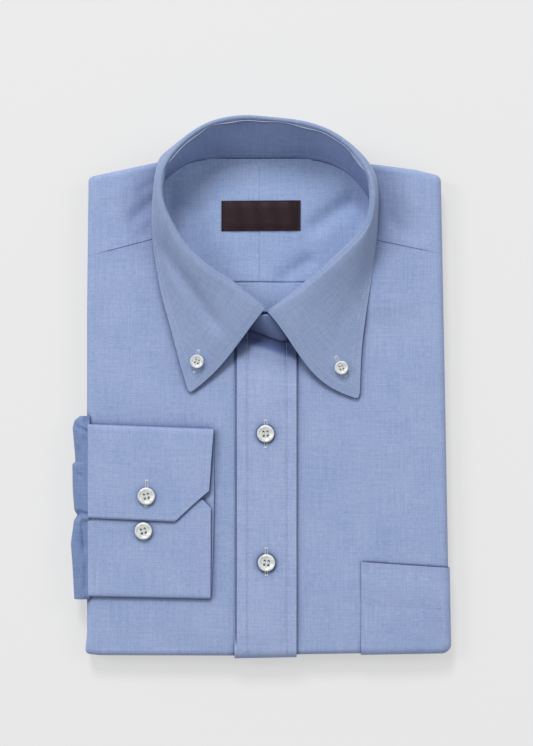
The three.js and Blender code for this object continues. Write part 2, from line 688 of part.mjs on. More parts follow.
for (const [name, outline] of Object.entries(regions)) {
  addMesh(name, fromManifold(openSheet.intersect(prism(outline, LOW, HIGH))), cloth(CLOTH_COLOUR));
}

const box = (right, left, front, back) => [[right, front], [left, front], [left, back], [right, back]];

// Placket and pocket lie on the fronts and end half way down the body's edge
const OVERLAY_END = 10;
const onTop = (outline) => fromManifold(overlay.intersect(prism(outline, OVERLAY_END, HIGH)));
addMesh('placket', onTop(box(PLACKET.right, PLACKET.left, -WIDE, PLACKET.top)), cloth(CLOTH_COLOUR));
const pocketArea = [
  [POCKET.side, -WIDE],
  [WIDE, -WIDE],
  [WIDE, POCKET.topOuter],
  [POCKET.side + 58, POCKET.topOuter],
  [POCKET.side, POCKET.topInner],
];
addMesh('pocket', onTop(pocketArea), cloth(CLOTH_COLOUR));

// The cloth seen inside the neck: the yoke in two halves and the back sewn to it
const insideRegions = {
  yoke_inside_right: box(-WIDE, YOKE_SPLIT_X - half, YOKE_INNER_SEAM_Y + half, WIDE),
  yoke_inside_left: box(YOKE_SPLIT_X + half, WIDE, YOKE_INNER_SEAM_Y + half, WIDE),
  back_panel: box(-WIDE, WIDE, 0, YOKE_INNER_SEAM_Y - half),
};
for (const [name, outline] of Object.entries(insideRegions)) {
  addMesh(name, fromManifold(neckFloor.intersect(prism(outline, LOW, HIGH))), cloth(INNER_COLOUR));
}

const labelRoom = neckBlock(0, SEAM_GAP, SEAM_GAP + LABEL.thick, false);
const labelArea = box(LABEL.right, LABEL.left, LABEL.bottom, LABEL.top);
addMesh('neck_label', fromManifold(labelRoom.intersect(prism(labelArea, LOW, HIGH))), cloth(LABEL_COLOUR));

addMesh('collar_stand', wall(standGrid(), STAND_WALL), cloth(INNER_COLOUR));
addMesh('collar_leaf', wall(leafGrid(), LEAF_WALL), cloth(CLOTH_COLOUR));
addMesh('cuff', wall(cuffGrid(), CUFF_WALL), cloth(CLOTH_COLOUR));
addMesh('sleeve_end', wall(sleeveGrid(), SLEEVE_WALL), cloth(CLOTH_COLOUR));

const buttons = [
  { name: 'button_front_1', kind: BUTTON, x: -0.6, y: -18.7, z: BODY_TOP + CLOTH + 2 * SEAM_GAP },
  { name: 'button_front_2', kind: BUTTON, x: 0, y: -103.1, z: BODY_TOP + CLOTH + 2 * SEAM_GAP },
  { name: 'button_cuff_1', kind: BUTTON, x: -78.4, y: -59.4, z: BODY_TOP + 4.7 + SEAM_GAP },
  { name: 'button_cuff_2', kind: BUTTON, x: -80.4, y: -82.2, z: BODY_TOP + 3.2 + SEAM_GAP },
  { name: 'button_collar_right', kind: COLLAR_BUTTON, x: -45.4, y: 28.5, z: 23.8 },
  { name: 'button_collar_left', kind: COLLAR_BUTTON, x: 48.8, y: 24.4, z: 23.8 },
];
for (const { name, kind, x, y, z } of buttons) {
  const geometry = fromManifold(button(kind));
  geometry.translate(x, y, z);
  addMesh(name, geometry, new THREE.MeshStandardMaterial({ color: PEARL, roughness: 0.3, metalness: 0 }));
}

export default shirt;
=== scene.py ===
# A long sleeve dress shirt with a button-down collar, pressed, folded flat and laid front up.
# Sizes are in millimetres in the part's own frame, and MM turns them into Blender's metres.
import math

import bmesh
import bpy
import numpy as np
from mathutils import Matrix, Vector


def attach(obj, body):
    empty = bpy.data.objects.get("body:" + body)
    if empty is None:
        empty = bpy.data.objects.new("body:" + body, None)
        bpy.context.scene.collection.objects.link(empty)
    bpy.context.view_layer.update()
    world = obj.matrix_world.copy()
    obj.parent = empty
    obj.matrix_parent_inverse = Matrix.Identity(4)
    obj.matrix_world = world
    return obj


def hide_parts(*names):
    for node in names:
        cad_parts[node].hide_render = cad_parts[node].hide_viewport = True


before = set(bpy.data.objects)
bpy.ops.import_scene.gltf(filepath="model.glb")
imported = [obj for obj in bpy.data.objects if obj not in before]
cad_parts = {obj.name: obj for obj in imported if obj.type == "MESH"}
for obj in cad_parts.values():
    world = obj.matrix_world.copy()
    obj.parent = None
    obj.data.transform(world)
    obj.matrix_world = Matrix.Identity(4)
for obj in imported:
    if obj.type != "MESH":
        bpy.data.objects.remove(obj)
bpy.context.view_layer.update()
MM = 0.001

# The camera looks straight down on the middle of the shirt from a little under a metre and a half,
# and takes in the same stretch of table as the photograph does.
CAMERA_HEIGHT = 1.400
PICTURE_PLANE = 0.018
PICTURE_HEIGHT = 0.4886
PICTURE_CENTRE_Y = 0.02096
SENSOR_HEIGHT = 24


def new_object(name, data):
    """An object in the scene."""
    thing = bpy.data.objects.new(name, data)
    bpy.context.collection.objects.link(thing)
    return thing


camera = new_object("camera", bpy.data.cameras.new("camera"))
camera.location = (0, PICTURE_CENTRE_Y, CAMERA_HEIGHT)
camera.data.sensor_fit = "VERTICAL"
camera.data.sensor_height = SENSOR_HEIGHT
camera.data.lens = SENSOR_HEIGHT * (CAMERA_HEIGHT - PICTURE_PLANE) / PICTURE_HEIGHT
bpy.context.scene.camera = camera
bpy.context.scene.view_settings.view_transform = "Standard"

# The table is a sheet of milky glass lit from below, so shadows on it stay faint. The main lamp
# stands behind the collar, two weaker ones to its sides, and the pale room lights the rest.
TABLE_GREY = 0.30
TABLE_GLOW = 0.51
TABLE_HALF = 4
TABLE_LEVEL = -MM / 4
ROOM_LIGHT = 0.38
table_top = bpy.data.materials.new("milky_glass")
table_top.use_nodes = True
table_shader = table_top.node_tree.nodes["Principled BSDF"]
table_shader.inputs["Base Color"].default_value = (TABLE_GREY, TABLE_GREY, TABLE_GREY, 1)
table_shader.inputs["Emission Color"].default_value = (1, 1, 1, 1)
table_shader.inputs["Emission Strength"].default_value = TABLE_GLOW
table_shader.inputs["Roughness"].default_value = 0.9
table_shader.inputs["Specular IOR Level"].default_value = 0.1
table_mesh = bpy.data.meshes.new("table")
table_corners = [
    (x * TABLE_HALF, y * TABLE_HALF, TABLE_LEVEL) for x, y in ((-1, -1), (1, -1), (1, 1), (-1, 1))
]
table_mesh.from_pydata(table_corners, [], [(0, 1, 2, 3)])
table_mesh.materials.append(table_top)
table = new_object("table", table_mesh)


def soft_lamp(name, place, width, power):
    """A square lamp that faces the middle of the shirt."""
    lamp = new_object(name, bpy.data.lights.new(name, "AREA"))
    lamp.data.shape = "SQUARE"
    lamp.data.size = width
    lamp.data.energy = power
    lamp.location = place
    lamp.rotation_euler = (-Vector(place)).to_track_quat("-Z", "Y").to_euler()


soft_lamp("window_lamp", (-3.7, 1.6, 3.9), 1.7, 76)
soft_lamp("roof_lamp", (-0.9, 4.1, 3.9), 1.5, 192)
soft_lamp("side_lamp", (3.7, 1.4, 3.7), 1.9, 34)
room = bpy.data.worlds.new("room")
bpy.context.scene.world = room
room.use_nodes = True
room.node_tree.nodes["Background"].inputs["Color"].default_value = (1, 1, 1, 1)
room.node_tree.nodes["Background"].inputs["Strength"].default_value = ROOM_LIGHT


# The shirting is a fine end-on-end cotton: blue warp, paler weft, with small slubs in both.
# Its pattern follows a map in centimetres of cloth, which every cut piece carries.
CLOTH_MAP = "cloth"


def new_group(name, inputs, outputs):
    """A shader node group with its sockets, and its nodes for what goes in and what comes out."""
    group = bpy.data.node_groups.new(name, "ShaderNodeTree")
    for label, kind, value in inputs:
        socket = group.interface.new_socket(label, in_out="INPUT", socket_type=kind)
        socket.default_value = value
    for label, kind in outputs:
        group.interface.new_socket(label, in_out="OUTPUT", socket_type=kind)
    return group, group.nodes.new("NodeGroupInput"), group.nodes.new("NodeGroupOutput")


def add_node(tree, kind, links, **settings):
    """A node with its settings; each of its inputs is linked to a socket or set to a value."""
    node = tree.nodes.new(kind)
    for key, value in settings.items():
        setattr(node, key, value)
    for key, value in links.items():
        if isinstance(value, bpy.types.NodeSocket):
            tree.links.new(value, node.inputs[key])
        else:
            node.inputs[key].default_value = value
    return node


def use_group(tree, group):
    """A node that puts a shader node group to use."""
    node = tree.nodes.new("ShaderNodeGroup")
    node.node_tree = group
    return node


def new_finish(name):
    """A plain finish to dress further: the material, its node tree and its shader."""
    finish = bpy.data.materials.new(name)
    finish.use_nodes = True
    return finish, finish.node_tree, finish.node_tree.nodes["Principled BSDF"]


def shirting_group():
    """Yarn colour and height over the cloth map: slubs along and across, soft dye clouds, fine weave."""
    group, inside, out = new_group(
        "shirting_weave",
        [
            ("Place", "NodeSocketVector", (0, 0, 0)),
            ("Dark yarn", "NodeSocketColor", (0.1, 0.15, 0.4, 1)),
            ("Pale yarn", "NodeSocketColor", (0.5, 0.6, 0.8, 1)),
        ],
        [("Colour", "NodeSocketColor"), ("Height", "NodeSocketFloat")],
    )
    place = inside.outputs["Place"]

    def slubs(scale, detail):
        moved = add_node(group, "ShaderNodeVectorMath", {0: place, 1: scale}, operation="MULTIPLY")
        return add_node(
            group, "ShaderNodeTexNoise",
            {"Vector": moved.outputs[0], "Scale": 1.0, "Detail": detail, "Roughness": 0.55},
            noise_dimensions="2D",
        ).outputs["Fac"]

    along = slubs((10.0, 0.40, 1.0), 2.0)
    across = slubs((0.45, 11.0, 1.0), 2.0)
    fine_along = slubs((28.0, 2.6, 1.0), 1.0)
    fine_across = slubs((2.4, 30.0, 1.0), 1.0)
    cloud = slubs((0.35, 0.3, 1.0), 3.0)

    def total(first, second, operation="ADD"):
        return add_node(group, "ShaderNodeMath", {0: first, 1: second}, operation=operation).outputs[0]

    broad = total(total(along, across), 1.0, "SUBTRACT")
    fine = total(total(fine_along, fine_across), 1.0, "SUBTRACT")
    streaks = total(total(broad, 0.42, "MULTIPLY"), total(fine, 0.50, "MULTIPLY"))
    streaks = total(streaks, total(total(cloud, 0.5, "SUBTRACT"), 0.30, "MULTIPLY"))
    warp = add_node(
        group, "ShaderNodeTexWave", {"Vector": place, "Scale": 6.4},
        wave_type="BANDS", bands_direction="X", wave_profile="SIN",
    ).outputs["Fac"]
    weft = add_node(
        group, "ShaderNodeTexWave", {"Vector": place, "Scale": 6.4},
        wave_type="BANDS", bands_direction="Y", wave_profile="SIN",
    ).outputs["Fac"]
    crossing = total(total(warp, weft, "SUBTRACT"), 0.08, "MULTIPLY")
    share = total(total(streaks, 0.5), crossing)
    blend = add_node(
        group, "ShaderNodeMix",
        {0: share, 6: inside.outputs["Dark yarn"], 7: inside.outputs["Pale yarn"]},
        data_type="RGBA", clamp_factor=True,
    )
    group.links.new(blend.outputs[2], out.inputs["Colour"])
    raised = total(total(total(warp, weft), 0.5, "MULTIPLY"), total(fine, 0.6, "MULTIPLY"))
    group.links.new(raised, out.inputs["Height"])
    return group


SHIRTING = shirting_group()


def close_painted_shade_group():
    """Painted shade: cloth loses light where other cloth stands close by, so its colour goes down to a share
    of itself.
    """
    group, inside, out = new_group(
        "close_painted_shade",
        [
            ("Colour", "NodeSocketColor", (0.5, 0.5, 0.5, 1)),
            ("Deepest share", "NodeSocketColor", (0.5, 0.5, 0.5, 1)),
            ("Reach", "NodeSocketFloat", 0.02),
            ("Openness at deepest", "NodeSocketFloat", 0.5),
        ],
        [("Colour", "NodeSocketColor")],
    )
    openness = add_node(
        group, "ShaderNodeAmbientOcclusion", {"Distance": inside.outputs["Reach"]}, samples=12
    ).outputs["AO"]
    kept = add_node(
        group, "ShaderNodeMapRange", {"Value": openness, "From Min": inside.outputs["Openness at deepest"]}
    ).outputs[0]
    share = add_node(
        group, "ShaderNodeMix", {0: kept, 6: inside.outputs["Deepest share"], 7: (1, 1, 1, 1)},
        data_type="RGBA", clamp_factor=True,
    ).outputs[2]
    shaded = add_node(
        group, "ShaderNodeVectorMath", {0: inside.outputs["Colour"], 1: share}, operation="MULTIPLY"
    )
    group.links.new(shaded.outputs[0], out.inputs["Colour"])
    return group


CLOSE_PAINTED_SHADE = close_painted_shade_group()
# The painted shade takes less of the blue than of the red and green, since blue comes back off the cloth
PAINTED_SHADE_TINT = (1.0, 0.95, 0.78)


def shirting(name, dark, pale, shade=None):
    """A shirting finish: matt cotton with the weave's colour and a faint raised thread. The shade is painted
    shade in the colour: the share of light lost at the deepest, its reach in millimetres, and how open the
    deepest is."""
    finish, tree, shader = new_finish(name)
    place = add_node(tree, "ShaderNodeUVMap", {}, uv_map=CLOTH_MAP)
    weave = use_group(tree, SHIRTING)
    tree.links.new(place.outputs["UV"], weave.inputs["Place"])
    weave.inputs["Dark yarn"].default_value = (*dark, 1)
    weave.inputs["Pale yarn"].default_value = (*pale, 1)
    colour = weave.outputs["Colour"]
    if shade:
        loss, reach, openness = shade
        shading = use_group(tree, CLOSE_PAINTED_SHADE)
        tree.links.new(colour, shading.inputs["Colour"])
        shading.inputs["Deepest share"].default_value = (*(1 - loss * tint for tint in PAINTED_SHADE_TINT), 1)
        shading.inputs["Reach"].default_value = reach * MM
        shading.inputs["Openness at deepest"].default_value = openness
        colour = shading.outputs["Colour"]
    tree.links.new(colour, shader.inputs["Base Color"])
    bump = add_node(
        tree, "ShaderNodeBump", {"Strength": 0.25, "Distance": 0.12 * MM, "Height": weave.outputs["Height"]}
    )
    tree.links.new(bump.outputs["Normal"], shader.inputs["Normal"])
    shader.inputs["Roughness"].default_value = 0.82
    shader.inputs["Specular IOR Level"].default_value = 0.25
    shader.inputs["Sheen Weight"].default_value = 0.12
    shader.inputs["Sheen Roughness"].default_value = 0.5
    return finish


# The blue cotton carries painted shade where other cloth stands close by
BLUE_COTTON = shirting("blue_cotton", (0.190, 0.275, 0.50), (0.41, 0.485, 0.71), (0.6, 26.0, 0.45))

# The folded layers under the fronts: back, sleeves and tail, pressed into one flat pad.
# Only their folded edges show, one over the other, and the flat cloth underneath.
BODY_TOP = 18.0
SEAM_GAP = 0.3
CLOTH = 1.5
FOLD_RADIUS = 4.2
TURN_UNDER = 2.6
CELLS_ACROSS = 120
CELLS_ALONG = 164
OUTLINE = [
    # x, y, how far the corner is rounded off
    (-119.4, -163.6, 3), (-110.0, -164.6, 0), (-20.0, -164.8, 0), (32.0, -163.8, 0),
    (120.6, -162.4, 6), (120.0, -138.0, 0), (117.7, -10.0, 0), (114.6, 150.4, 3.4),
    (97.7, 154.6, 0), (68.0, 158.4, 0), (-70.0, 159.8, 0), (-117.0, 149.7, 3),
    (-118.0, 60.0, 0), (-118.0, -150.0, 0),
]
INNER_ROUND = 0.55
LAYER_INSETS = [0.6, 1.9, 1.1]
LAYER_HEIGHT_STEPS = 2
NOSE_DEPTH = 1.1


def smooth(low, high, value):
    share = np.clip((np.asarray(value, float) - low) / (high - low), 0, 1)
    return share * share * (3 - 2 * share)


def top_height(x, y):
    """The height of the pressed front over any point of the table."""
    side = np.minimum(np.abs(x) / 120, 1)
    end = np.minimum(np.abs(y) / 165, 1)
    return BODY_TOP - 1.4 * side**4 - 1.0 * end**6


def inner_outline():
    """The outline moved in by the fold's radius, to where the cloth starts to turn down."""
    places = np.array([row[:2] for row in OUTLINE])
    along = np.roll(places, -1, axis=0) - places
    along /= np.linalg.norm(along, axis=1)[:, None]
    after = np.stack([along[:, 1], -along[:, 0]], axis=1)
    before = np.roll(after, 1, axis=0)
    shift = (before + after) * FOLD_RADIUS / (1 + np.sum(before * after, axis=1))[:, None]
    return [(*place, row[2] * INNER_ROUND) for place, row in zip(places - shift, OUTLINE)]


def outline_sides(outline):
    """An outline with its rounded corners, as four sides that meet half way round them."""
    walk = []
    count = len(outline)
    for i, (x, y, round_off) in enumerate(outline):
        here = np.array([x, y])
        if round_off == 0:
            walk.append((here, False))
            continue
        before = np.array(outline[i - 1][:2])
        after = np.array(outline[(i + 1) % count][:2])
        start = here + (before - here) / np.linalg.norm(before - here) * round_off
        end = here + (after - here) / np.linalg.norm(after - here) * round_off
        first_pull = start + (here - start) * 0.55
        last_pull = end + (here - end) * 0.55
        for k in range(17):
            t = k / 16
            point = (
                start * (1 - t) ** 3 + first_pull * 3 * t * (1 - t) ** 2
                + last_pull * 3 * t * t * (1 - t) + end * t**3
            )
            walk.append((point, k == 8))
    first = next(k for k, step in enumerate(walk) if step[1])
    walk = walk[first:] + walk[: first + 1]
    sides = []
    for point, corner in walk:
        if sides:
            sides[-1].append(point)
        if corner and len(sides) < 4:
            sides.append([point])
    return [np.array(side) for side in sides]


def run_along(line):
    """How far each point of a line lies from its start, measured along it."""
    return np.concatenate([[0], np.cumsum(np.linalg.norm(np.diff(line, axis=0), axis=1))])


def places_at(at, run, line):
    """The places of a line at given lengths along it."""
    return np.stack([np.interp(at, run, line[:, k]) for k in range(line.shape[1])], axis=1)


def resample(side, steps):
    """Even steps along a side, drawn a little closer together towards its ends."""
    lengths = run_along(side)
    even = np.linspace(0, 1, steps + 1)
    drawn = (0.3 * even + 0.7 * (0.5 - 0.5 * np.cos(np.pi * even))) * lengths[-1]
    return places_at(drawn, lengths, side)


rim_steps = [CELLS_ACROSS, CELLS_ALONG, CELLS_ACROSS, CELLS_ALONG]
rim_edge, rim_inner = (
    np.concatenate([resample(side, steps)[:-1] for side, steps in zip(outline_sides(outline), rim_steps)])
    for outline in (OUTLINE, inner_outline())
)
rim_out = (rim_edge - rim_inner) / FOLD_RADIUS
rim_height = top_height(rim_inner[:, 0], rim_inner[:, 1])

corner_1 = CELLS_ACROSS
corner_2 = CELLS_ACROSS + CELLS_ALONG
corner_3 = 2 * CELLS_ACROSS + CELLS_ALONG
bottom_line = rim_inner[: corner_1 + 1]
right_line = rim_inner[corner_1 : corner_2 + 1]
top_line = rim_inner[corner_2 : corner_3 + 1][::-1]
left_line = np.concatenate([rim_inner[corner_3:], rim_inner[:1]])[::-1]
u_share = np.linspace(0, 1, CELLS_ACROSS + 1)[None, :, None]
v_share = np.linspace(0, 1, CELLS_ALONG + 1)[:, None, None]
flat_grid = (
    bottom_line[None] * (1 - v_share) + top_line[None] * v_share
    + left_line[:, None] * (1 - u_share) + right_line[:, None] * u_share
    - bottom_line[0] * (1 - u_share) * (1 - v_share) - bottom_line[-1] * u_share * (1 - v_share)
    - top_line[0] * (1 - u_share) * v_share - top_line[-1] * u_share * v_share
)
grid_columns = CELLS_ACROSS + 1
grid_numbers = np.arange(grid_columns * (CELLS_ALONG + 1)).reshape(CELLS_ALONG + 1, grid_columns)
rim_numbers = np.concatenate([
    grid_numbers[0, :-1], grid_numbers[:-1, -1], grid_numbers[-1, :0:-1], grid_numbers[:0:-1, 0],
])


def grid_faces(numbers):
    """One four sided face for each cell of a grid of point numbers."""
    corners = [numbers[:-1, :-1], numbers[:-1, 1:], numbers[1:, 1:], numbers[1:, :-1]]
    return np.stack(corners, axis=-1).reshape(-1, 4)


def cloth_object(name, points, faces, cloth_map, material, thickness=0.0, smooth_steps=0):
    """A mesh of cloth from points in millimetres, with its place in the cloth and its thickness."""
    mesh = bpy.data.meshes.new(name)
    mesh.from_pydata((np.asarray(points, float) * MM).tolist(), [], np.asarray(faces).tolist())
    layer = mesh.uv_layers.new(name=CLOTH_MAP)
    corners = np.zeros(len(mesh.loops), int)
    mesh.loops.foreach_get("vertex_index", corners)
    layer.data.foreach_set("uv", (np.asarray(cloth_map, float)[corners] / 10).ravel())
    mesh.shade_smooth()
    mesh.materials.append(material)
    piece = new_object(name, mesh)
    finish_cloth(piece, thickness, smooth_steps)
    return piece


def woven_grid(name, points, cloth_map, material, thickness, turned_over=False, smooth_steps=0):
    """A cloth from a grid of points; turned over, it faces the other way of its rows and columns."""
    numbers = np.arange(points.shape[0] * points.shape[1]).reshape(points.shape[:2])
    faces = grid_faces(numbers)[:, ::-1] if turned_over else grid_faces(numbers)
    return cloth_object(
        name, points.reshape(-1, 3), faces, np.reshape(cloth_map, (-1, 2)), material, thickness, smooth_steps
    )


def finish_cloth(piece, thickness, smooth_steps=0):
    if smooth_steps:
        rounding = piece.modifiers.new("rounding", "SUBSURF")
        rounding.levels = smooth_steps
        rounding.render_levels = smooth_steps
    if thickness:
        ply = piece.modifiers.new("thickness", "SOLIDIFY")
        ply.thickness = thickness * MM
        ply.offset = -1
        ply.use_even_offset = False


def shell_of_rings(start, rings):
    """Faces between the grid's rim and each ring of points that follows it outward and down."""
    faces = []
    loops = [start, *rings]
    for upper, lower in zip(loops[:-1], loops[1:]):
        faces.append(np.stack([upper, lower, np.roll(lower, -1), np.roll(upper, -1)], axis=-1))
    return np.concatenate(faces)


def folded_layers():
    """The pad's flat underside, and the rounded noses of its folded layers up to the fronts."""
    flap_base = rim_height - 2 * FOLD_RADIUS - SEAM_GAP
    along = run_along(rim_inner)
    points = [np.column_stack([flat_grid.reshape(-1, 2), np.zeros(flat_grid.shape[0] * flat_grid.shape[1])])]
    flats = [flat_grid.reshape(-1, 2)]
    rings = []
    count = len(points[0])
    layers = len(LAYER_INSETS) * LAYER_HEIGHT_STEPS
    reach = 0
    for layer in range(layers - 1, -1, -1):
        inset = LAYER_INSETS[layer // LAYER_HEIGHT_STEPS] + 0.35 * (layer % LAYER_HEIGHT_STEPS)
        drift = 0.35 * np.sin(along / (37 + 9 * layer) + 2.1 * layer) + 0.2 * np.sin(along / 11 + layer)
        nose = FOLD_RADIUS - inset - np.abs(drift)
        for turn in np.linspace(-0.5, 0.5, 6):
            height = flap_base * (1 - (layer + 0.5 - turn * 0.98) / layers)
            out = nose - NOSE_DEPTH * (1 - math.cos(math.pi * turn))
            plan = rim_inner + rim_out * out[:, None]
            points.append(np.column_stack([plan, np.maximum(height, 0)]))
            reach += 0.9
            flats.append(rim_inner + rim_out * (4 + reach))
            rings.append(np.arange(count, count + len(rim_inner)))
            count += len(rim_inner)
    faces = np.concatenate([grid_faces(grid_numbers)[:, ::-1], shell_of_rings(rim_numbers, rings)[:, ::-1]])
    return cloth_object(
        "folded_layers_cloth", np.concatenate(points), faces, np.concatenate(flats), BLUE_COTTON,
        thickness=0.6,
    )


layers = folded_layers()
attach(layers, "root")
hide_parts("folded_layers")

# The two fronts and the two halves of the yoke: one layer of shirting, pressed flat over the pad,
# turned round its edges and a little way under it, and cut away round the neck.
COLLAR = [
    # seam on the neck, fold of the leaf, edge of the leaf, then puff, fall and bow of the roll;
    # the rows go from the right end of the collar round the back of the neck to its left end
    ((-0.4, 41.0, 21.4), (-0.6, 63.9, 27.0), (-50.8, 7.2, 20.8), 2.0, 2.4, 3.2),
    ((-27.3, 60.2, 21.0), (-21.9, 80.0, 30.0), (-56.6, 27.0, 20.8), 2.4, 2.0, 1.5),
    ((-44.5, 77.0, 20.2), (-39.3, 91.5, 34.0), (-62.6, 49.7, 20.8), 2.6, 1.7, 0),
    ((-60.5, 101.0, 19.3), (-53.5, 106.0, 37.0), (-69.3, 75.0, 20.8), 2.6, 1.4, 0),
    ((-69.9, 126.3, 18.9), (-66.2, 129.8, 41.0), (-75.0, 112.0, 20.8), 2.0, 1.1, 0),
    ((-68.2, 144.0, 18.9), (-67.2, 145.5, 42.0), (-74.5, 138.0, 20.6), 1.8, 1, 0),
    ((-60.0, 152.6, 18.7), (-62.5, 158.0, 42.0), (-69.5, 162.5, 17.0), 1.8, 1, 0),
    ((-48.5, 159.4, 17.4), (-50.7, 171.0, 41.0), (-54.0, 171.5, 3.0), 1.6, 1, 0),
    ((-33.0, 162.0, 12.6), (-36.0, 180.2, 40.4), (-37.0, 176.0, 0.7), 2.0, 1, 0),
    ((-17.0, 162.4, 11.0), (-17.6, 184.4, 40.0), (-17.0, 179.0, 0.6), 1.8, 1, 0),
    ((2.0, 162.4, 11.0), (3.0, 183.4, 40.0), (2.0, 179.5, 0.6), 1.4, 1, 0),
    ((24.0, 162.0, 11.4), (25.3, 180.2, 40.0), (24.0, 177.5, 0.6), 2.0, 1, 0),
    ((39.0, 159.2, 15.0), (41.5, 174.0, 40.6), (41.5, 173.0, 1.6), 2.0, 1, 0),
    ((53.0, 151.8, 18.6), (56.0, 162.2, 41.2), (60.0, 165.5, 9.0), 1.8, 1, 0),
    ((64.0, 140.0, 18.9), (65.0, 148.0, 42.0), (71.5, 150.0, 19.9), 1.8, 1, 0),
    ((70.2, 126.0, 18.9), (66.8, 129.0, 41.0), (73.0, 121.0, 20.8), 2.0, 1.1, 0),
    ((67.4, 110.6, 19.3), (62.1, 114.6, 38.0), (70.5, 94.8, 20.8), 2.6, 1.4, 0),
    ((49.5, 87.0, 20.2), (44.0, 96.0, 34.5), (65.5, 62.0, 20.8), 2.8, 1.7, 0),
    ((27.0, 67.0, 21.0), (22.0, 77.0, 30.5), (62.3, 36.0, 20.8), 2.6, 2.0, -3.0),
    ((0.4, 40.6, 21.4), (0.8, 61.2, 27.0), (60.9, 3.6, 20.8), 2.2, 2.4, -8.4),
]
STATIONS_BETWEEN = 8


def curve_through(table, steps_between):
    """A smooth curve through a table of points, with the same run of points between each pair."""
    points = np.array(table, float)
    padded = np.concatenate([[2 * points[0] - points[1]], points, [2 * points[-1] - points[-2]]])
    result = []
    for k in range(len(points) - 1):
        p0, p1, p2, p3 = padded[k : k + 4]
        spans = ((p0, p1), (p1, p2), (p2, p3))
        first, middle, last = (max(np.linalg.norm(b - a), 1e-6) ** 0.5 for a, b in spans)
        leave = ((p1 - p0) / first - (p2 - p0) / (first + middle) + (p2 - p1) / middle) * middle
        arrive = ((p2 - p1) / middle - (p3 - p1) / (middle + last) + (p3 - p2) / last) * middle
        for step in range(steps_between):
            t = step / steps_between
            result.append(
                p1 + leave * t + (3 * (p2 - p1) - 2 * leave - arrive) * t**2
                + (2 * (p1 - p2) + leave + arrive) * t**3
            )
    result.append(points[-1])
    return np.array(result)


seam_line = curve_through([row[0] for row in COLLAR], STATIONS_BETWEEN)
fold_line = curve_through([row[1] for row in COLLAR], STATIONS_BETWEEN)
edge_line = curve_through([row[2] for row in COLLAR], STATIONS_BETWEEN)
station_place = np.linspace(0, len(COLLAR) - 1, len(seam_line))
puff, fall, bow = (
    np.interp(station_place, range(len(COLLAR)), [row[k] for row in COLLAR]) for k in (3, 4, 5)
)


def distance_to_line(points, line, closed=False):
    """For each plan point: how far the nearest point of a line is, and which point that is."""
    ends = np.roll(line, -1, axis=0) if closed else line[1:]
    starts = line if closed else line[:-1]
    best = np.full(len(points), 1e9)
    nearest = np.zeros((len(points), line.shape[1]))
    for a, b in zip(starts, ends):
        span = b[:2] - a[:2]
        share = np.clip(((points - a[:2]) @ span) / max(span @ span, 1e-9), 0, 1)
        found = a + (b - a) * share[:, None]
        distance = np.linalg.norm(points - found[:, :2], axis=1)
        closer = distance < best
        best[closer] = distance[closer]
        nearest[closer] = found[closer]
    return best, nearest


def inside_outline(points, outline):
    """Which plan points lie inside a closed outline."""
    inside = np.zeros(len(points), bool)
    for (ax, ay), (bx, by) in zip(outline, np.roll(outline, -1, axis=0)):
        if ay == by:
            continue
        crosses = (points[:, 1] > ay) != (points[:, 1] > by)
        reach = ax + (points[:, 1] - ay) / (by - ay) * (bx - ax)
        inside ^= crosses & (points[:, 0] < reach)
    return inside


# The fronts and yokes are cut along the stand's seam, and behind the neck past the pad's edge
BEHIND_NECK = [[-56, 172], [50, 172]]
neck_seam = seam_line[seam_line[:, 2] > BODY_TOP]
split = int(np.argmax(np.diff(neck_seam[:, 0]) > 60)) + 1
neck_hole = np.concatenate([neck_seam[:split, :2], BEHIND_NECK, neck_seam[split:, :2]])

BODY_CREASES = [
    # start, end, depth (troughs are negative), width
    ((-68, 139), (-90, 120), -1.7, 7.0),
    ((72, 118), (76, 56), 1.8, 24.0),
    ((-70, 148), (-84, 140), -0.8, 6.0),
    ((-74, 118), (-86, 108), -0.7, 6.0),
    ((-78, 152), (-104, 138), 0.35, 8.0),
    ((76, 126), (92, 112), -0.7, 7.0),
    ((74, 146), (100, 128), 0.3, 9.0),
    ((-70, 60), (-112, 72), -0.30, 10.0),
    ((75, 40), (112, 60), -0.25, 12.0),
    ((30, -20), (110, -34), 0.25, 14.0),
    ((-30, 0), (-110, 10), 0.25, 14.0),
    ((-30, -140), (-110, -134), 0.25, 12.0),
]


def creases(x, y, table):
    """Soft troughs and ridges along short straight lines, fading at their ends."""
    points = np.column_stack([np.ravel(x), np.ravel(y)])
    lift = np.zeros(len(points))
    for start, end, depth, width in table:
        span = np.array(end, float) - start
        length = np.linalg.norm(span)
        along = (points - start) @ span / length**2
        across = (points - start) @ np.array([-span[1], span[0]]) / length
        fade = np.exp(-np.clip(np.abs(along - 0.5) - 0.3, 0, None) ** 2 / 0.03)
        lift += depth * fade * np.exp(-(across**2) / (2 * (width / 2) ** 2))
    return lift.reshape(np.shape(x))


# The hollow under the lap of the stand follows the lap's lower edge: a place on it and its slope
LAP_X = 12.5
LAP_Y = 43.2
LAP_SLOPE = 0.314


def body_relief(x, y):
    """How the pressed front leaves its plain form: soft waves, creases, and the rise to the collar's
    seam at the sides of the neck, with the hollow under the lap in the middle."""
    wave = 0.16 * np.sin(x / 31 + y / 53 + 0.6) + 0.12 * np.sin(y / 23 - x / 61 + 2.0)
    near_seam, nearest = distance_to_line(np.column_stack([x, y]), neck_seam)
    ridge = (nearest[:, 2] - 0.4 - BODY_TOP) * (1 - smooth(1.5, 10, near_seam)) * smooth(16, 30, np.abs(x))
    below_lap = LAP_Y + (LAP_X - x) * LAP_SLOPE - y
    hollow = 2.8 * smooth(32, 13, below_lap) + 4.2 * smooth(12, 3, below_lap)
    dip = -hollow * (1 - smooth(14, 30, np.abs(x)))
    return wave + creases(x, y, BODY_CREASES) + np.maximum(ridge, 0) + dip


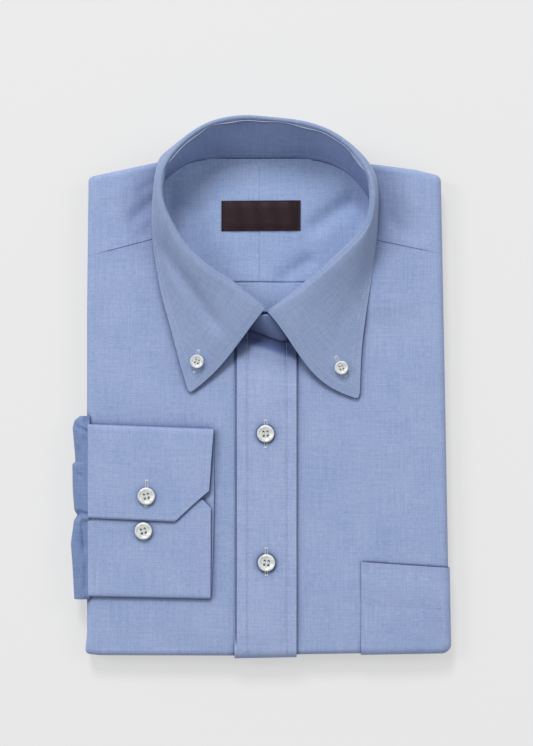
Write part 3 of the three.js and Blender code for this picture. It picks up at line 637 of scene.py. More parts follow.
def body_sheet(offset, relief):
    """A layer over the whole pad: its face, the turn round the edges and the part turned under."""
    face = flat_grid.reshape(-1, 2)
    inner_fade = smooth(0, 12, distance_to_line(face, rim_inner[::4], closed=True)[0])
    height = top_height(face[:, 0], face[:, 1]) + offset + relief(face[:, 0], face[:, 1]) * inner_fade
    points = [np.column_stack([face, height])]
    flats = [face]
    rings = []
    count = len(face)
    steps = [(math.radians(turn), 0.0) for turn in range(15, 181, 15)]
    for turn, inward in steps + [(math.pi, TURN_UNDER / 2), (math.pi, TURN_UNDER)]:
        radius = FOLD_RADIUS + offset
        plan = rim_inner + rim_out * (radius * math.sin(turn) - inward)
        points.append(np.column_stack([plan, rim_height - FOLD_RADIUS + radius * math.cos(turn)]))
        flats.append(rim_inner + rim_out * (radius * turn + inward))
        rings.append(np.arange(count, count + len(rim_inner)))
        count += len(rim_inner)
    faces = np.concatenate([grid_faces(grid_numbers), shell_of_rings(rim_numbers, rings)])
    return np.concatenate(points), faces, np.concatenate(flats)


def cut_upright(made, place, normal, clear_outer=False):
    """Cut a mesh along an upright plane, and drop what lies on the side its normal points to."""
    everything = made.verts[:] + made.edges[:] + made.faces[:]
    bmesh.ops.bisect_plane(
        made, geom=everything, dist=1e-7, plane_co=(place[0] * MM, place[1] * MM, 0),
        plane_no=(*normal, 0), clear_outer=clear_outer,
    )


# Points on the cut round the neck this near to the seam are moved onto it
HOLE_PULL = 3.2


def cut_sheet(name, sheet, planes, material, thickness, hole=None):
    """A piece cut from a body sheet along upright planes, and round the neck where a hole is given."""
    piece = cloth_object(name + "_cloth", *sheet, material)
    made = bmesh.new()
    made.from_mesh(piece.data)
    for place, normal in planes:
        cut_upright(made, place, normal, clear_outer=True)
    if hole is not None:
        centres = np.array([face.calc_center_median()[:] for face in made.faces]) / MM
        gone = inside_outline(centres[:, :2], hole)
        made.faces.ensure_lookup_table()
        old_border = {v for v in made.verts if v.is_boundary}
        bmesh.ops.delete(made, geom=[made.faces[k] for k in np.flatnonzero(gone)], context="FACES")
        border = [v for v in made.verts if v.is_boundary and v not in old_border]
        plan = np.array([v.co[:] for v in border]) / MM
        distance, nearest = distance_to_line(plan[:, :2], hole, closed=True)
        for vertex, far, spot in zip(border, distance, nearest):
            if far < HOLE_PULL:
                vertex.co.x = spot[0] * MM
                vertex.co.y = spot[1] * MM
    for face in made.faces:
        face.smooth = True
    for edge in made.edges:
        edge.smooth = not edge.is_boundary
    made.to_mesh(piece.data)
    made.free()
    finish_cloth(piece, thickness)
    return piece


# The right front is the one on the left in the picture; its yoke seam runs up to the neck.
FRONT_PLY = 0.7
SEAM_RIGHT = ((-140, 91.8), (-77.5, 108.1))
SEAM_LEFT = ((140, 94.1), (81.8, 106.1))
front_sheet = body_sheet(0, body_relief)


def yoke_relief(x, y):
    """The yoke's folded lower edge lies over the front, so it stands a thread higher along the seam."""
    lift = np.zeros(len(x))
    for (ax, ay), (bx, by) in (SEAM_RIGHT, SEAM_LEFT):
        seam_y = ay + (x - ax) * (by - ay) / (bx - ax)
        same_side = np.sign(x) == np.sign(ax)
        lift += same_side * 0.45 * (1 - smooth(2, 12, y - seam_y))
    return body_relief(x, y) + lift


yoke_sheet = body_sheet(0, yoke_relief)


def seam_plane(seam, gap, keep_above):
    """A cut along a yoke seam: a place on it, moved up by a gap, and a normal to the side cut off."""
    (ax, ay), (bx, by) = seam
    normal = np.array([-(by - ay), bx - ax]) * (1 if bx > ax else -1)
    normal /= np.linalg.norm(normal)
    place = np.array([ax, ay]) + normal * gap
    return tuple(place), tuple(-normal if keep_above else normal)


HALF_SEAM = 0.05
FRONTS = [
    # node, sheet, side of the middle, yoke seam, above the seam, flat size, area
    ("front_right", front_sheet, -1, SEAM_RIGHT, False, (0.134, 0.283), 0.0335),
    ("front_left", front_sheet, 1, SEAM_LEFT, False, (0.136, 0.283), 0.0345),
    ("yoke_right", yoke_sheet, -1, SEAM_RIGHT, True, (0.090, 0.075), 0.0048),
    ("yoke_left", yoke_sheet, 1, SEAM_LEFT, True, (0.090, 0.075), 0.0045),
]
for name, source, side, seam, above, flat, area in FRONTS:
    centre_cut = ((side * HALF_SEAM, 0), (-side, 0))
    yoke_cut = seam_plane(seam, HALF_SEAM if above else -HALF_SEAM, above)
    piece = cut_sheet(name, source, [centre_cut, yoke_cut], BLUE_COTTON, FRONT_PLY, neck_hole)
    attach(piece, "root")
    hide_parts(name)

# The placket: a doubled band folded to the outside of the left front and stitched down both edges,
# which carries the front buttonholes. It turns under the hem fold with the front.
PLACKET_RIGHT = -21.0
PLACKET_LEFT = 19.7
PLACKET_TOP = 52.0
PLACKET_LIFT = CLOTH + SEAM_GAP
PLACKET_STITCH = (-12.6, 13.2)
BUTTON_FRONT = [(-0.6, -18.7), (0.0, -103.1)]
# The placket's band carries stronger painted shade where other cloth stands close by
BAND_COTTON = shirting("blue_cotton_band", (0.205, 0.290, 0.51), (0.435, 0.505, 0.725), (0.8, 34.0, 0.62))


def stitched_dip(distance, depth, width):
    """How cloth sinks in under a line of stitching."""
    return -depth * np.exp(-(np.asarray(distance) ** 2) / (2 * width**2))


def placket_lift(x, y):
    """Pressed edges, a soft swell between the stitching, a dip along each stitched line."""
    middle = 0.25 * np.cos(np.clip(x / 12.5, -1, 1) * math.pi / 2)
    dips = sum(stitched_dip(x - at, 0.22, 0.7) for at in PLACKET_STITCH)
    groove_at = x - PLACKET_RIGHT - 1.2
    left_edge = -1.35 * smooth(0.35, -0.45, groove_at) - 0.9 * np.exp(-(groove_at**2) / 0.05)
    right_edge = 0.25 * smooth(4, 0.5, PLACKET_LEFT - x)
    ripple = 0.10 * np.sin(y / 3.1 + 1.3 * np.sin(y / 17)) * np.exp(-((np.abs(x) - 13) ** 2) / 14)
    long_wave = 0.14 * np.sin(y / 27 + 0.7)
    holes = sum(0.3 * np.exp(-((x - bx) ** 2) / 8 - ((y - by) ** 2) / 60) for bx, by in BUTTON_FRONT)
    return middle + dips + left_edge + right_edge + ripple + long_wave - holes


def placket():
    """The band in rows from its top down to the hem fold and round under it."""
    across = np.unique(np.concatenate([
        np.linspace(PLACKET_RIGHT, PLACKET_LEFT, 41),
        PLACKET_RIGHT + np.array([0.25, 0.6, 0.8, 0.95, 1.1, 1.25, 1.4, 1.6, 1.9]),
        PLACKET_LEFT - np.array([0.25, 0.6, 1.2]),
        *(at + np.linspace(-1.6, 1.6, 9) for at in PLACKET_STITCH),
    ]).round(3))
    hem_y = np.interp(across, bottom_line[:, 0], bottom_line[:, 1])
    hem_z = top_height(across, hem_y)
    rows, flats = [], []
    for share in np.linspace(0, 1, 150):
        y = PLACKET_TOP + (hem_y - PLACKET_TOP) * share
        fade = smooth(0, 10, y - hem_y)
        creases = body_relief(across, y) + placket_lift(across, y)
        z = top_height(across, y) + PLACKET_LIFT + creases * fade
        rows.append(np.column_stack([across, y, z]))
        flats.append(np.column_stack([across, y]))
    radius = FOLD_RADIUS + PLACKET_LIFT
    steps = [(math.radians(turn), 0.0) for turn in range(15, 181, 15)]
    for turn, inward in steps + [(math.pi, TURN_UNDER)]:
        y = hem_y - radius * math.sin(turn) + inward
        rows.append(np.column_stack([across, y, hem_z - FOLD_RADIUS + radius * math.cos(turn)]))
        flats.append(np.column_stack([across, hem_y - radius * turn - inward]))
    return woven_grid("placket_cloth", np.array(rows), np.array(flats), BAND_COTTON, 1.3, turned_over=True)


band = placket()
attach(band, "root")
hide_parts("placket")

# The chest pocket: a patch of the same shirting on the left front, turned under with the fold,
# with a deep hem at its mouth and stitched down its inner side.
POCKET_SIDE = 62.0
POCKET_MOUTH = ((62.0, -102.8), (120.0, -106.8))
POCKET_LIFT = 1.05
HEM_LINE = ((62.0, -130.0), (120.0, -133.2))


def pocket_relief(x, y):
    """The pocket's soft swell over its hem, its stitched side and hem line, and its lifted mouth."""
    below_mouth, to_hem = (
        ay + (x - ax) * (by - ay) / (bx - ax) - y for (ax, ay), (bx, by) in (POCKET_MOUTH, HEM_LINE)
    )
    swell = 0.35 * np.exp(-((below_mouth - 12) ** 2) / 120)
    edge = -0.5 * (1 - smooth(0, 2.5, x - POCKET_SIDE))
    mouth = 0.35 * (1 - smooth(0.5, 4, below_mouth))
    return body_relief(x, y) + swell + edge + mouth + stitched_dip(to_hem, 0.25, 1.3)


# Straight across the mouth, pointing up the shirt
MOUTH_ACROSS = (4.0 / 58.14, 58.0 / 58.14)
GROOVE = [
    # distance above the mouth, depth
    (-1.2, 0), (-0.3, 0.35), (0.15, 0.35), (0.5, 0.2), (1.0, 0),
]
GROOVE_FADE = 5.0


def press_groove(piece):
    """A narrow groove in the front along the mouth, where the pocket's stiff hem presses into it."""
    made = bmesh.new()
    made.from_mesh(piece.data)
    origin, across = np.array(POCKET_MOUTH[0]), np.array(MOUTH_ACROSS)
    offs, depths = zip(*GROOVE)
    for off in offs:
        cut_upright(made, origin + across * off, MOUTH_ACROSS)
    for vertex in made.verts:
        plan = np.array(vertex.co[:2]) / MM
        depth = np.interp((plan - origin) @ across, offs, depths, left=0, right=0)
        vertex.co.z -= float(depth * smooth(POCKET_SIDE, POCKET_SIDE + GROOVE_FADE, plan[0])) * MM
    made.to_mesh(piece.data)
    made.free()


press_groove(bpy.data.objects["front_left_cloth"])
pocket = cut_sheet(
    "pocket", body_sheet(POCKET_LIFT, pocket_relief),
    [((POCKET_SIDE, 0), (-1, 0)), (POCKET_MOUTH[0], MOUTH_ACROSS)], BLUE_COTTON, 0.7,
)
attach(pocket, "root")
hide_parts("pocket")

# The inside of the neck: the yoke in two halves joined down the middle and the back sewn below it,
# lying on the folded layers and turned up all round to where the collar stand is sewn on.
NECK_DEPTH = 9.2
YOKE_SPLIT_X = -4.5
SPLIT_GAP = 0.06
YOKE_INNER_SEAM_Y = 81.0
PANEL_TOP = 162.0
PANEL_BOTTOM = 54.0
PANEL_STEP = 1.1
NECK_COTTON = shirting("blue_cotton_neck", (0.183, 0.280, 0.52), (0.420, 0.510, 0.735))
NECK_CREASES = [
    # start, end, depth, width
    ((27, 114), (64, 140), -2.8, 9.0),
    ((6, 80), (33, 98), -2.2, 8.0),
    ((-40, 84), (-58, 104), 0.5, 6.0),
    ((-54, 124), (-30, 134), -0.5, 7.0),
    ((-46, 150), (-14, 156), 0.5, 6.0),
]


def neck_height(x, y):
    """The floor of the neck, higher in the corners at the back and towards the front."""
    corner = smooth(30, 58, np.abs(x + 3)) * smooth(128, 156, y)
    front = 1 - smooth(50, 95, y)
    return NECK_DEPTH + 5.2 * corner + 2.2 * front


def neck_surface(x, y):
    """The floor with its creases, turned up all round to the seam of the stand."""
    flat_x, flat_y = np.ravel(x), np.ravel(y)
    to_seam, nearest = distance_to_line(np.column_stack([flat_x, flat_y]), seam_line)
    floor = neck_height(flat_x, flat_y) + creases(flat_x, flat_y, NECK_CREASES) * smooth(2, 12, to_seam)
    seam_z = nearest[:, 2] - 0.2
    rise = np.clip(1 - to_seam / (2.0 + 0.62 * np.maximum(seam_z - floor, 0.1)), 0, 1) ** 1.7
    return (floor + (seam_z - floor) * rise).reshape(np.shape(x))


def panel_surface(x, y):
    """The neck's surface with the dip at the split of the yoke and the lap of its lower edge."""
    above = y > YOKE_INNER_SEAM_Y
    split_dip = stitched_dip(x - YOKE_SPLIT_X, 0.22, 0.45) * above
    lap = 0.5 * above * (1 - smooth(2, 14, y - YOKE_INNER_SEAM_Y))
    return neck_surface(x, y) + split_dip + lap


def seam_reach(y):
    """How far the neck runs to each side at a place along the shirt, from the stand's seam."""
    right, left = [], []
    for level in y:
        crossings = []
        for a, b in zip(seam_line[:-1], seam_line[1:]):
            if (a[1] > level) != (b[1] > level):
                crossings.append(a[0] + (level - a[1]) / (b[1] - a[1]) * (b[0] - a[0]))
        right.append(min(crossings))
        left.append(max(crossings))
    return np.array(right), np.array(left)


def neck_panel(name, low, high, side):
    """A panel of the inner neck between two lines across the shirt, to one side or right across."""
    levels = np.linspace(low, high, max(int((high - low) / PANEL_STEP), 8))
    right, left = seam_reach(levels)
    start = right if side != "left" else np.full(len(levels), YOKE_SPLIT_X + SPLIT_GAP / 2)
    end = left if side != "right" else np.full(len(levels), YOKE_SPLIT_X - SPLIT_GAP / 2)
    columns = 90 if side == "both" else 70
    drawn = np.linspace(0, 1, columns)
    if side == "left":
        drawn = drawn**1.5
    if side == "right":
        drawn = 1 - (1 - drawn) ** 1.5
    x = start[:, None] + (end - start)[:, None] * drawn[None]
    y = np.repeat(levels[:, None], columns, axis=1)
    points = np.stack([x, y, panel_surface(x, y)], axis=-1)
    panel = woven_grid(name + "_cloth", points, points[..., :2], NECK_COTTON, 0.7)
    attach(panel, "root")
    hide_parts(name)


neck_panel("yoke_inside_right", YOKE_INNER_SEAM_Y + HALF_SEAM, PANEL_TOP, "right")
neck_panel("yoke_inside_left", YOKE_INNER_SEAM_Y + HALF_SEAM, PANEL_TOP, "left")
neck_panel("back_panel", PANEL_BOTTOM, YOKE_INNER_SEAM_Y - HALF_SEAM, "both")

# The neck label: a bare strip of dark brown satin, its ends folded under and stitched down
# to the inner yoke.
LABEL_RIGHT = -29.7
LABEL_LEFT = 22.4
LABEL_BOTTOM = 114.5
LABEL_TOP = 134.4
LABEL_TILT = 0.35
LABEL_LIFT = 0.75
LABEL_STITCH = 1.3
LABEL_COLUMNS = 105
LABEL_ROWS = 41


def satin_finish():
    """Dark brown satin with fine ribs across it and long shiny threads."""
    finish, tree, shader = new_finish("brown_satin")
    place = add_node(tree, "ShaderNodeUVMap", {}, uv_map=CLOTH_MAP).outputs["UV"]
    stretched = add_node(
        tree, "ShaderNodeVectorMath", {0: place, 1: (30, 3, 1)}, operation="MULTIPLY"
    ).outputs[0]
    threads = add_node(
        tree, "ShaderNodeTexNoise", {"Vector": stretched, "Scale": 1.0, "Detail": 2.0}, noise_dimensions="2D"
    ).outputs["Fac"]
    ribs = add_node(
        tree, "ShaderNodeTexWave", {"Vector": place, "Scale": 9.0},
        wave_type="BANDS", bands_direction="Y", wave_profile="SIN",
    ).outputs["Fac"]
    blend = add_node(
        tree, "ShaderNodeMix", {0: threads, 6: (0.010, 0.004, 0.006, 1), 7: (0.033, 0.013, 0.018, 1)},
        data_type="RGBA", clamp_factor=True,
    )
    tree.links.new(blend.outputs[2], shader.inputs["Base Color"])
    both = add_node(tree, "ShaderNodeMath", {0: ribs, 1: threads}, operation="ADD").outputs[0]
    bump = add_node(tree, "ShaderNodeBump", {"Strength": 0.4, "Distance": 0.0001, "Height": both})
    tree.links.new(bump.outputs["Normal"], shader.inputs["Normal"])
    shader.inputs["Roughness"].default_value = 0.38
    shader.inputs["Specular IOR Level"].default_value = 0.18
    return finish


BROWN_SATIN = satin_finish()


def label():
    """The strip over the neck's surface, swelling between its stitched ends, its cloth rippled."""
    x = np.linspace(LABEL_RIGHT, LABEL_LEFT, LABEL_COLUMNS)[None].repeat(LABEL_ROWS, axis=0)
    y = np.linspace(LABEL_BOTTOM, LABEL_TOP, LABEL_ROWS)[:, None].repeat(LABEL_COLUMNS, axis=1)
    y = y + LABEL_TILT * (x - LABEL_RIGHT) / (LABEL_LEFT - LABEL_RIGHT)
    from_end = np.minimum(x - LABEL_RIGHT, LABEL_LEFT - x)
    from_side = np.minimum(y - LABEL_BOTTOM, LABEL_TOP - y)
    swell = 0.5 * smooth(0, 7, from_end) * (0.5 + 0.5 * smooth(0, 5, from_side))
    ripple = 0.16 * np.sin(x / 1.9 + 0.6 * np.sin(y / 5)) * smooth(1, 5, from_end)
    sewn = stitched_dip(from_end - LABEL_STITCH, 0.25, 0.5)
    z = neck_surface(x, y) + LABEL_LIFT + swell + ripple + sewn
    points = np.stack([x, y, z], axis=-1)
    return woven_grid("neck_label_cloth", points, points[..., :2], BROWN_SATIN, 0.6)


bare_strip = label()
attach(bare_strip, "root")
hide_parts("neck_label")

# The collar stand: two plies of shirting round a stiff lining, sewn to the neck all round.
# It leans out at the back and lies almost flat in front, where its left end laps over the right.
NECK_CENTRE_Y = 125.0
STAND_WALL = 1.2
LEAF_WALL = 1.2
OVER_STAND = STAND_WALL + LEAF_WALL + SEAM_GAP
STAND_STEPS = 18
STAND_START_SEAM = [(8.0, 53.0, 18.0), (-6.0, 53.0, 17.6)]
STAND_START_TOP = [(6.0, 61.0, 23.0), (-6.0, 62.5, 24.0)]
STAND_END_SEAM = [
    (19.0, 52.0, 19.0), (12.5, 43.2, 15.8), (4.5, 44.6, 14.8), (-4.5, 48.0, 15.0), (-13.0, 51.2, 16.5),
]
STAND_END_TOP = [
    (14.5, 68.6, 29.0), (9.0, 63.6, 29.4), (3.0, 60.0, 29.0), (-3.0, 59.4, 28.6), (-9.0, 61.0, 28.4),
]
STAND_BELLY = 0.021
# The stand's cloth is a darker copy of the shirting: painted shade for the shade in and under the collar,
# with more painted shade close to other cloth
STAND_PAINTED_SHADE_COTTON = shirting("blue_cotton_stand_painted_shade", (0.165, 0.255, 0.51), (0.37, 0.45, 0.71), (0.9, 26.0, 0.5))


def outwards(points):
    """Away from the middle of the neck, level with the table."""
    out = points - np.array([0, NECK_CENTRE_Y, 0])
    out[:, 2] = 0
    return out / np.linalg.norm(out, axis=1)[:, None]


def lengths_of(points, axis):
    """How far each point of a grid lies along its row or column, measured over the cloth."""
    steps = np.linalg.norm(np.diff(points, axis=axis), axis=-1)
    pad = [(1, 0), (0, 0)] if axis == 0 else [(0, 0), (1, 0)]
    return np.pad(np.cumsum(steps, axis=axis), pad)


def flat_places(points):
    """Places in the cut cloth for a grid: lengths along the middle line and across each row."""
    middle = points.shape[1] // 2
    along = lengths_of(points[:, middle : middle + 1], 0)
    across = lengths_of(points, 1)
    return np.stack([np.broadcast_to(along, across.shape), across], axis=-1).reshape(-1, 2)


def stand():
    """The stand from a little under its seam up to the fold of the leaf, bowed softly outwards."""
    seam = STAND_START_SEAM + [row[0] for row in COLLAR[1:-1]] + STAND_END_SEAM
    top = STAND_START_TOP + [row[1] for row in COLLAR[1:-1]] + STAND_END_TOP
    seam = curve_through(seam, STATIONS_BETWEEN)
    top = curve_through(top, STATIONS_BETWEEN)
    shares = np.linspace(-0.03, 1, STAND_STEPS)
    points = seam[:, None] + (top - seam)[:, None] * shares[None, :, None]
    points[:, -1, 2] -= SEAM_GAP
    height = np.linalg.norm(top - seam, axis=1)
    belly = np.sin(np.clip(shares, 0, 1) * math.pi)[None] * STAND_BELLY * height[:, None]
    return points + outwards(seam)[:, None] * belly[..., None]


stand_points = stand()
collar_stand = woven_grid(
    "collar_stand_cloth", stand_points, flat_places(stand_points), STAND_PAINTED_SHADE_COTTON, STAND_WALL * 0.9,
    turned_over=True,
)
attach(collar_stand, "root")
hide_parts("collar_stand")

# The collar leaf: turned over the stand at the fold, rolled softly above its points,
# its two points long and buttoned down to the fronts, with the tips turned out round.
RIM_COLUMNS = 6
LEAF_STEPS = 44
TIP_ROUND = 3.2
LEAF_NESTLE = 0.4
# The leaf's cloth is a darker, greyer copy of the shirting: painted shade for how the light falls across the
# leaf's weave
LEAF_PAINTED_SHADE_COTTON = shirting("blue_cotton_leaf_painted_shade", (0.180, 0.255, 0.455), (0.355, 0.435, 0.635))
LEAF_CREASES = [
    # start, end, depth, width
    ((-73, 109), (-28.5, 46), -3.0, 6.5),
    ((-78, 80), (-50, 36), 0.5, 10.0),
    ((71, 96), (46, 46), -1.0, 9.0),
    ((46, 96), (24, 66), 0.4, 9.0),
]


def keep_edges_crisp(points, axis, sides):
    """Another row close to the edges of a grid, so that its shading stays flat up to them."""
    for edge, inner, place in sides:
        rim = np.take(points, edge, axis)
        step = np.take(points, inner, axis) - rim
        reach = np.maximum(np.linalg.norm(step, axis=-1, keepdims=True), 1e-6)
        points = np.insert(points, place, rim + step * np.minimum(0.3 / reach, 0.4), axis=axis)
    return points


FIRST_EDGE = (0, 1, 1)
LAST_EDGE = (-1, -2, -1)


def leaf_face(fold, edge, t, lift, fall_by, bow_by):
    """Points on the outer face of the leaf at shares t of the way from its fold to its edge."""
    chord = edge - fold
    flat = chord * np.array([1, 1, 0])
    run = np.linalg.norm(flat, axis=1)
    ahead = np.where((run > 9)[:, None], flat / np.maximum(run, 1e-6)[:, None], outwards(fold.copy()))
    slope = chord / np.linalg.norm(chord, axis=1)[:, None]
    off = -ahead * slope[:, 2:3]
    off[:, 2] += np.sum(slope * ahead, axis=1)
    off /= np.linalg.norm(off, axis=1)[:, None]
    side = np.column_stack([-ahead[:, 1], ahead[:, 0], np.zeros(len(ahead))])
    roll = t**0.5 * (1 - t) ** 1.3 / 0.413
    points = fold + flat * t
    points[:, 2] = edge[:, 2] + (fold[:, 2] - edge[:, 2]) * (1 - t[:, 0]) ** fall_by
    return points + off * lift[:, None] * roll + side * bow_by[:, None] * np.sin(math.pi * t**1.5)


def leaf():
    """The leaf in rows from one end to the other: first its rim over the stand's top edge, then its
    outer face down to the edge, with round tips."""
    out = outwards(fold_line)
    lean = (seam_line - fold_line) / np.linalg.norm(seam_line - fold_line, axis=1)[:, None]
    over = fold_line.copy()
    over[:, 2] += STAND_WALL * np.maximum(0, np.sum(lean * out, axis=1))
    wave = 0.5 * np.sin(station_place * 2.9 + 0.6) + 0.4 * np.sin(station_place * 5.3)
    back = smooth(4, 6.5, station_place) * (1 - smooth(14, 16, station_place))
    under = -1.1 - 1.1 * back
    from_end = np.minimum(station_place, station_place[-1] - station_place)
    rim = 0.35 + 0.65 * smooth(0, 1.5, from_end)
    profile = [
        # reach inward and height, for the front and for the back of the neck
        (0.95 * rim, under, 1.0 + 0.8 * wave, under),
        (0.90 * rim, -0.3 * rim, 0.8 + 0.8 * wave, -0.15),
        (0.70 * rim, 0.2 * rim, 0.3 + 0.5 * wave, -0.95),
        (0.45 * rim, 0.75 * rim, -0.25, 0.60),
        (-0.20 * rim, 1.1 + 0.2 * rim, -0.8, 1.15),
        (-1.20 * rim, 1.1 + 0.2 * rim, -1.5, 1.25),
    ]
    raised = 2.2 * np.exp(-(from_end**2) / 0.9)
    columns = []
    for front_in, front_z, back_in, back_z in profile:
        inward = front_in * (1 - back) + back_in * back
        height = front_z * (1 - back) + back_z * back + raised
        columns.append(over - out * inward[:, None] + np.outer(height, [0, 0, 1]))
    turned = over + out * ((OVER_STAND - LEAF_NESTLE) * rim)[:, None]
    across = np.linalg.norm(edge_line - turned, axis=1)
    along_edge = run_along(edge_line)
    stations = len(turned)
    numbers = np.arange(stations, dtype=float)
    grid = []
    for share in (np.arange(LEAF_STEPS + 1) / LEAF_STEPS) ** 1.25:
        from_outer = (1 - share) * across
        shift = np.zeros(stations)
        pull = np.zeros(stations)
        for near, sign in ((along_edge, 1), (along_edge[-1] - along_edge, -1)):
            a = np.clip(TIP_ROUND - near, 0, None)
            b = np.clip(TIP_ROUND - from_outer, 0, None)
            far = np.hypot(a, b)
            squeeze = np.where(far > 0, np.maximum(a, b) / np.maximum(far, 1e-9), 1)
            shift += sign * a * (1 - squeeze)
            pull += b * (1 - squeeze)
        place = np.interp(np.clip(along_edge + shift, 0, along_edge[-1]), along_edge, numbers)
        at = np.clip(share - pull / across, 0, 1)[:, None]
        lines = [places_at(place, numbers, line) for line in (turned, edge_line)]
        values = [np.interp(place, numbers, table) for table in (puff, fall, bow)]
        face = leaf_face(*lines, at, *values)
        face[:, 2] += raised * (1 - smooth(0.1, 0.8, share))
        lying = smooth(18.0, 20.5, edge_line[:, 2])
        near_end = np.minimum(along_edge, along_edge[-1] - along_edge) + 9 * (1 - share)
        droop = 1 - smooth(0, 17, np.minimum(from_outer, near_end))
        face[:, 2] += LEAF_WALL - 1.6 * droop * lying + creases(face[:, 0], face[:, 1], LEAF_CREASES)
        grid.append(face)
    points = np.stack(columns + grid, axis=1)
    points = keep_edges_crisp(points, 1, [LAST_EDGE])
    return keep_edges_crisp(points, 0, [FIRST_EDGE, LAST_EDGE])


leaf_points = leaf()
collar_leaf = woven_grid(
    "collar_leaf_cloth", leaf_points, flat_places(leaf_points), LEAF_PAINTED_SHADE_COTTON, 1.0, turned_over=True
)
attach(collar_leaf, "root")
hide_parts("collar_leaf")

# The cuff: two plies of shirting round a lining, its open band folded in two on the right front.
# The upper flap carries the buttonhole and has its corner cut off at a slant.
CUFF = [
    # y, height above the front, right end, left end
    (-77.3, 4.7, -116.7, -60.0), (-66.0, 4.7, -116.9, -48.5), (-56.0, 4.7, -116.9, -37.4),
    (-36.0, 4.7, -116.9, -36.0), (-17.5, 4.7, -116.9, -34.6), (-15.9, 4.0, -116.9, -34.5),
    (-15.3, 2.5, -116.9, -34.5), (-15.9, 1.0, -116.9, -34.4), (-17.5, 0.3, -116.9, -34.3),
    (-60.0, 0.3, -116.9, -34.3), (-100.0, 0.3, -116.9, -35.0), (-125.4, 0.3, -116.9, -36.2),
    (-126.5, 0.9, -116.9, -36.5), (-126.9, 1.75, -116.9, -36.6), (-126.5, 2.6, -116.9, -36.6),
    (-125.4, 3.2, -116.9, -36.6), (-96.0, 3.2, -116.9, -36.4), (-67.4, 3.2, -116.9, -36.3),
    (-61.5, 3.2, -116.9, -42.2),
]
CUFF_ROW_GAP = 2.2
CUFF_WALL = 1.2
CUFF_COLUMNS = 46


def refine(table, longest):
    """Rows added between those of a table, so that none is further apart than a given length."""
    rows = [np.array(table[0], float)]
    for a, b in zip(table[:-1], table[1:]):
        a, b = np.array(a, float), np.array(b, float)
        steps = max(int(math.ceil(np.hypot(b[0] - a[0], b[1] - a[1]) / longest)), 1)
        rows.extend(a + (b - a) * k / steps for k in range(1, steps + 1))
    return np.array(rows)


def cuff():
    """The cuff's grid and its cloth map: the rows run down its upper flap, under it and back."""
    rows = refine(CUFF, CUFF_ROW_GAP)
    shares = np.unique(np.concatenate([np.linspace(0, 1, CUFF_COLUMNS), [0.006, 0.994]]))
    x = rows[:, 3:4] + (rows[:, 2:3] - rows[:, 3:4]) * shares[None]
    y = np.repeat(rows[:, :1], x.shape[1], axis=1)
    # the pressed folds are not quite square to the sleeve: their outer ends lie a little higher
    flap = rows[:, 1:2] > 4.2
    tilt = np.where(flap, np.interp(y, [-77, -15], [3.5, 3.0]), np.interp(y, [-127, -15], [1.5, 3.0]))
    y = y - tilt * (x + 35) / 82
    lifted = np.maximum(rows[:, 1:2] - 2.0, 0) / 2.7
    swell = 0.35 * np.sin(np.clip((x + 117) / 82, 0, 1) * math.pi) * np.clip(lifted, 0, 1)
    wave = 0.14 * np.sin(x / 17 + y / 29) * np.clip(lifted, 0, 1)
    z = top_height(x, y) + rows[:, 1:2] + swell * smooth(-15.3, -30, y) + wave
    run = run_along(rows[:, :2])
    return np.stack([x, y, z], axis=-1), np.column_stack([x.ravel(), np.repeat(run, x.shape[1])])


cuff_points, cuff_map = cuff()
folded_cuff = woven_grid("cuff_cloth", cuff_points, cuff_map, BLUE_COTTON, CUFF_WALL * 0.9, turned_over=True)
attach(folded_cuff, "root")
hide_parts("cuff")

# The end of the sleeve: it comes out from between the lower folds, turns up round the body's edge
# in gathered pleats, and is sewn to the cuff.
SLEEVE = [
    # y, how far it stands out, how its top rises or dips
    (-7.4, 122.8, -1.2), (-10.2, 126.2, 0.2), (-15.0, 127.4, 0.4), (-34.6, 125.8, -0.5),
    (-37.6, 125.8, -0.6), (-38.8, 127.6, 0.6), (-55.0, 127.4, 0.4), (-69.0, 126.4, -0.1),
    (-72.4, 124.4, -1.5), (-75.8, 126.6, -0.3), (-91.0, 128.6, 0.3), (-108.0, 127.4, 0.0),
    (-127.2, 126.4, 0.0),
]
SLEEVE_SEAM_X = -115.8
SLEEVE_TOP = 20.4
SLEEVE_BOTTOM = 3.4
SLEEVE_TUCK_X = -109.0
SLEEVE_ROW_GAP = 1.1
# The sleeve end's cloth is a much darker copy of the shirting: painted shade for the shade on its turned-up
# pleats
SLEEVE_PAINTED_SHADE_COTTON = shirting("blue_cotton_sleeve_painted_shade", (0.096, 0.160, 0.345), (0.245, 0.325, 0.535))
SLEEVE_CREASES = [
    # start, end, depth, width
    ((-127, -13.2), (-115.5, -17.9), -1.5, 1.8),
    ((-119, -21), (-124, -34), -0.6, 3.0),
    ((-124.5, -45), (-120, -47), -0.7, 1.6),
    ((-125, -52), (-121, -66), 0.4, 3.0),
    ((-124.5, -69.8), (-115.5, -72.0), -1.6, 1.8),
    ((-120.8, -73.5), (-119.0, -97), -2.0, 2.2),
    ((-124.0, -78), (-123.5, -108), 0.6, 3.4),
    ((-118.5, -104), (-119.0, -122), -0.9, 2.2),
]


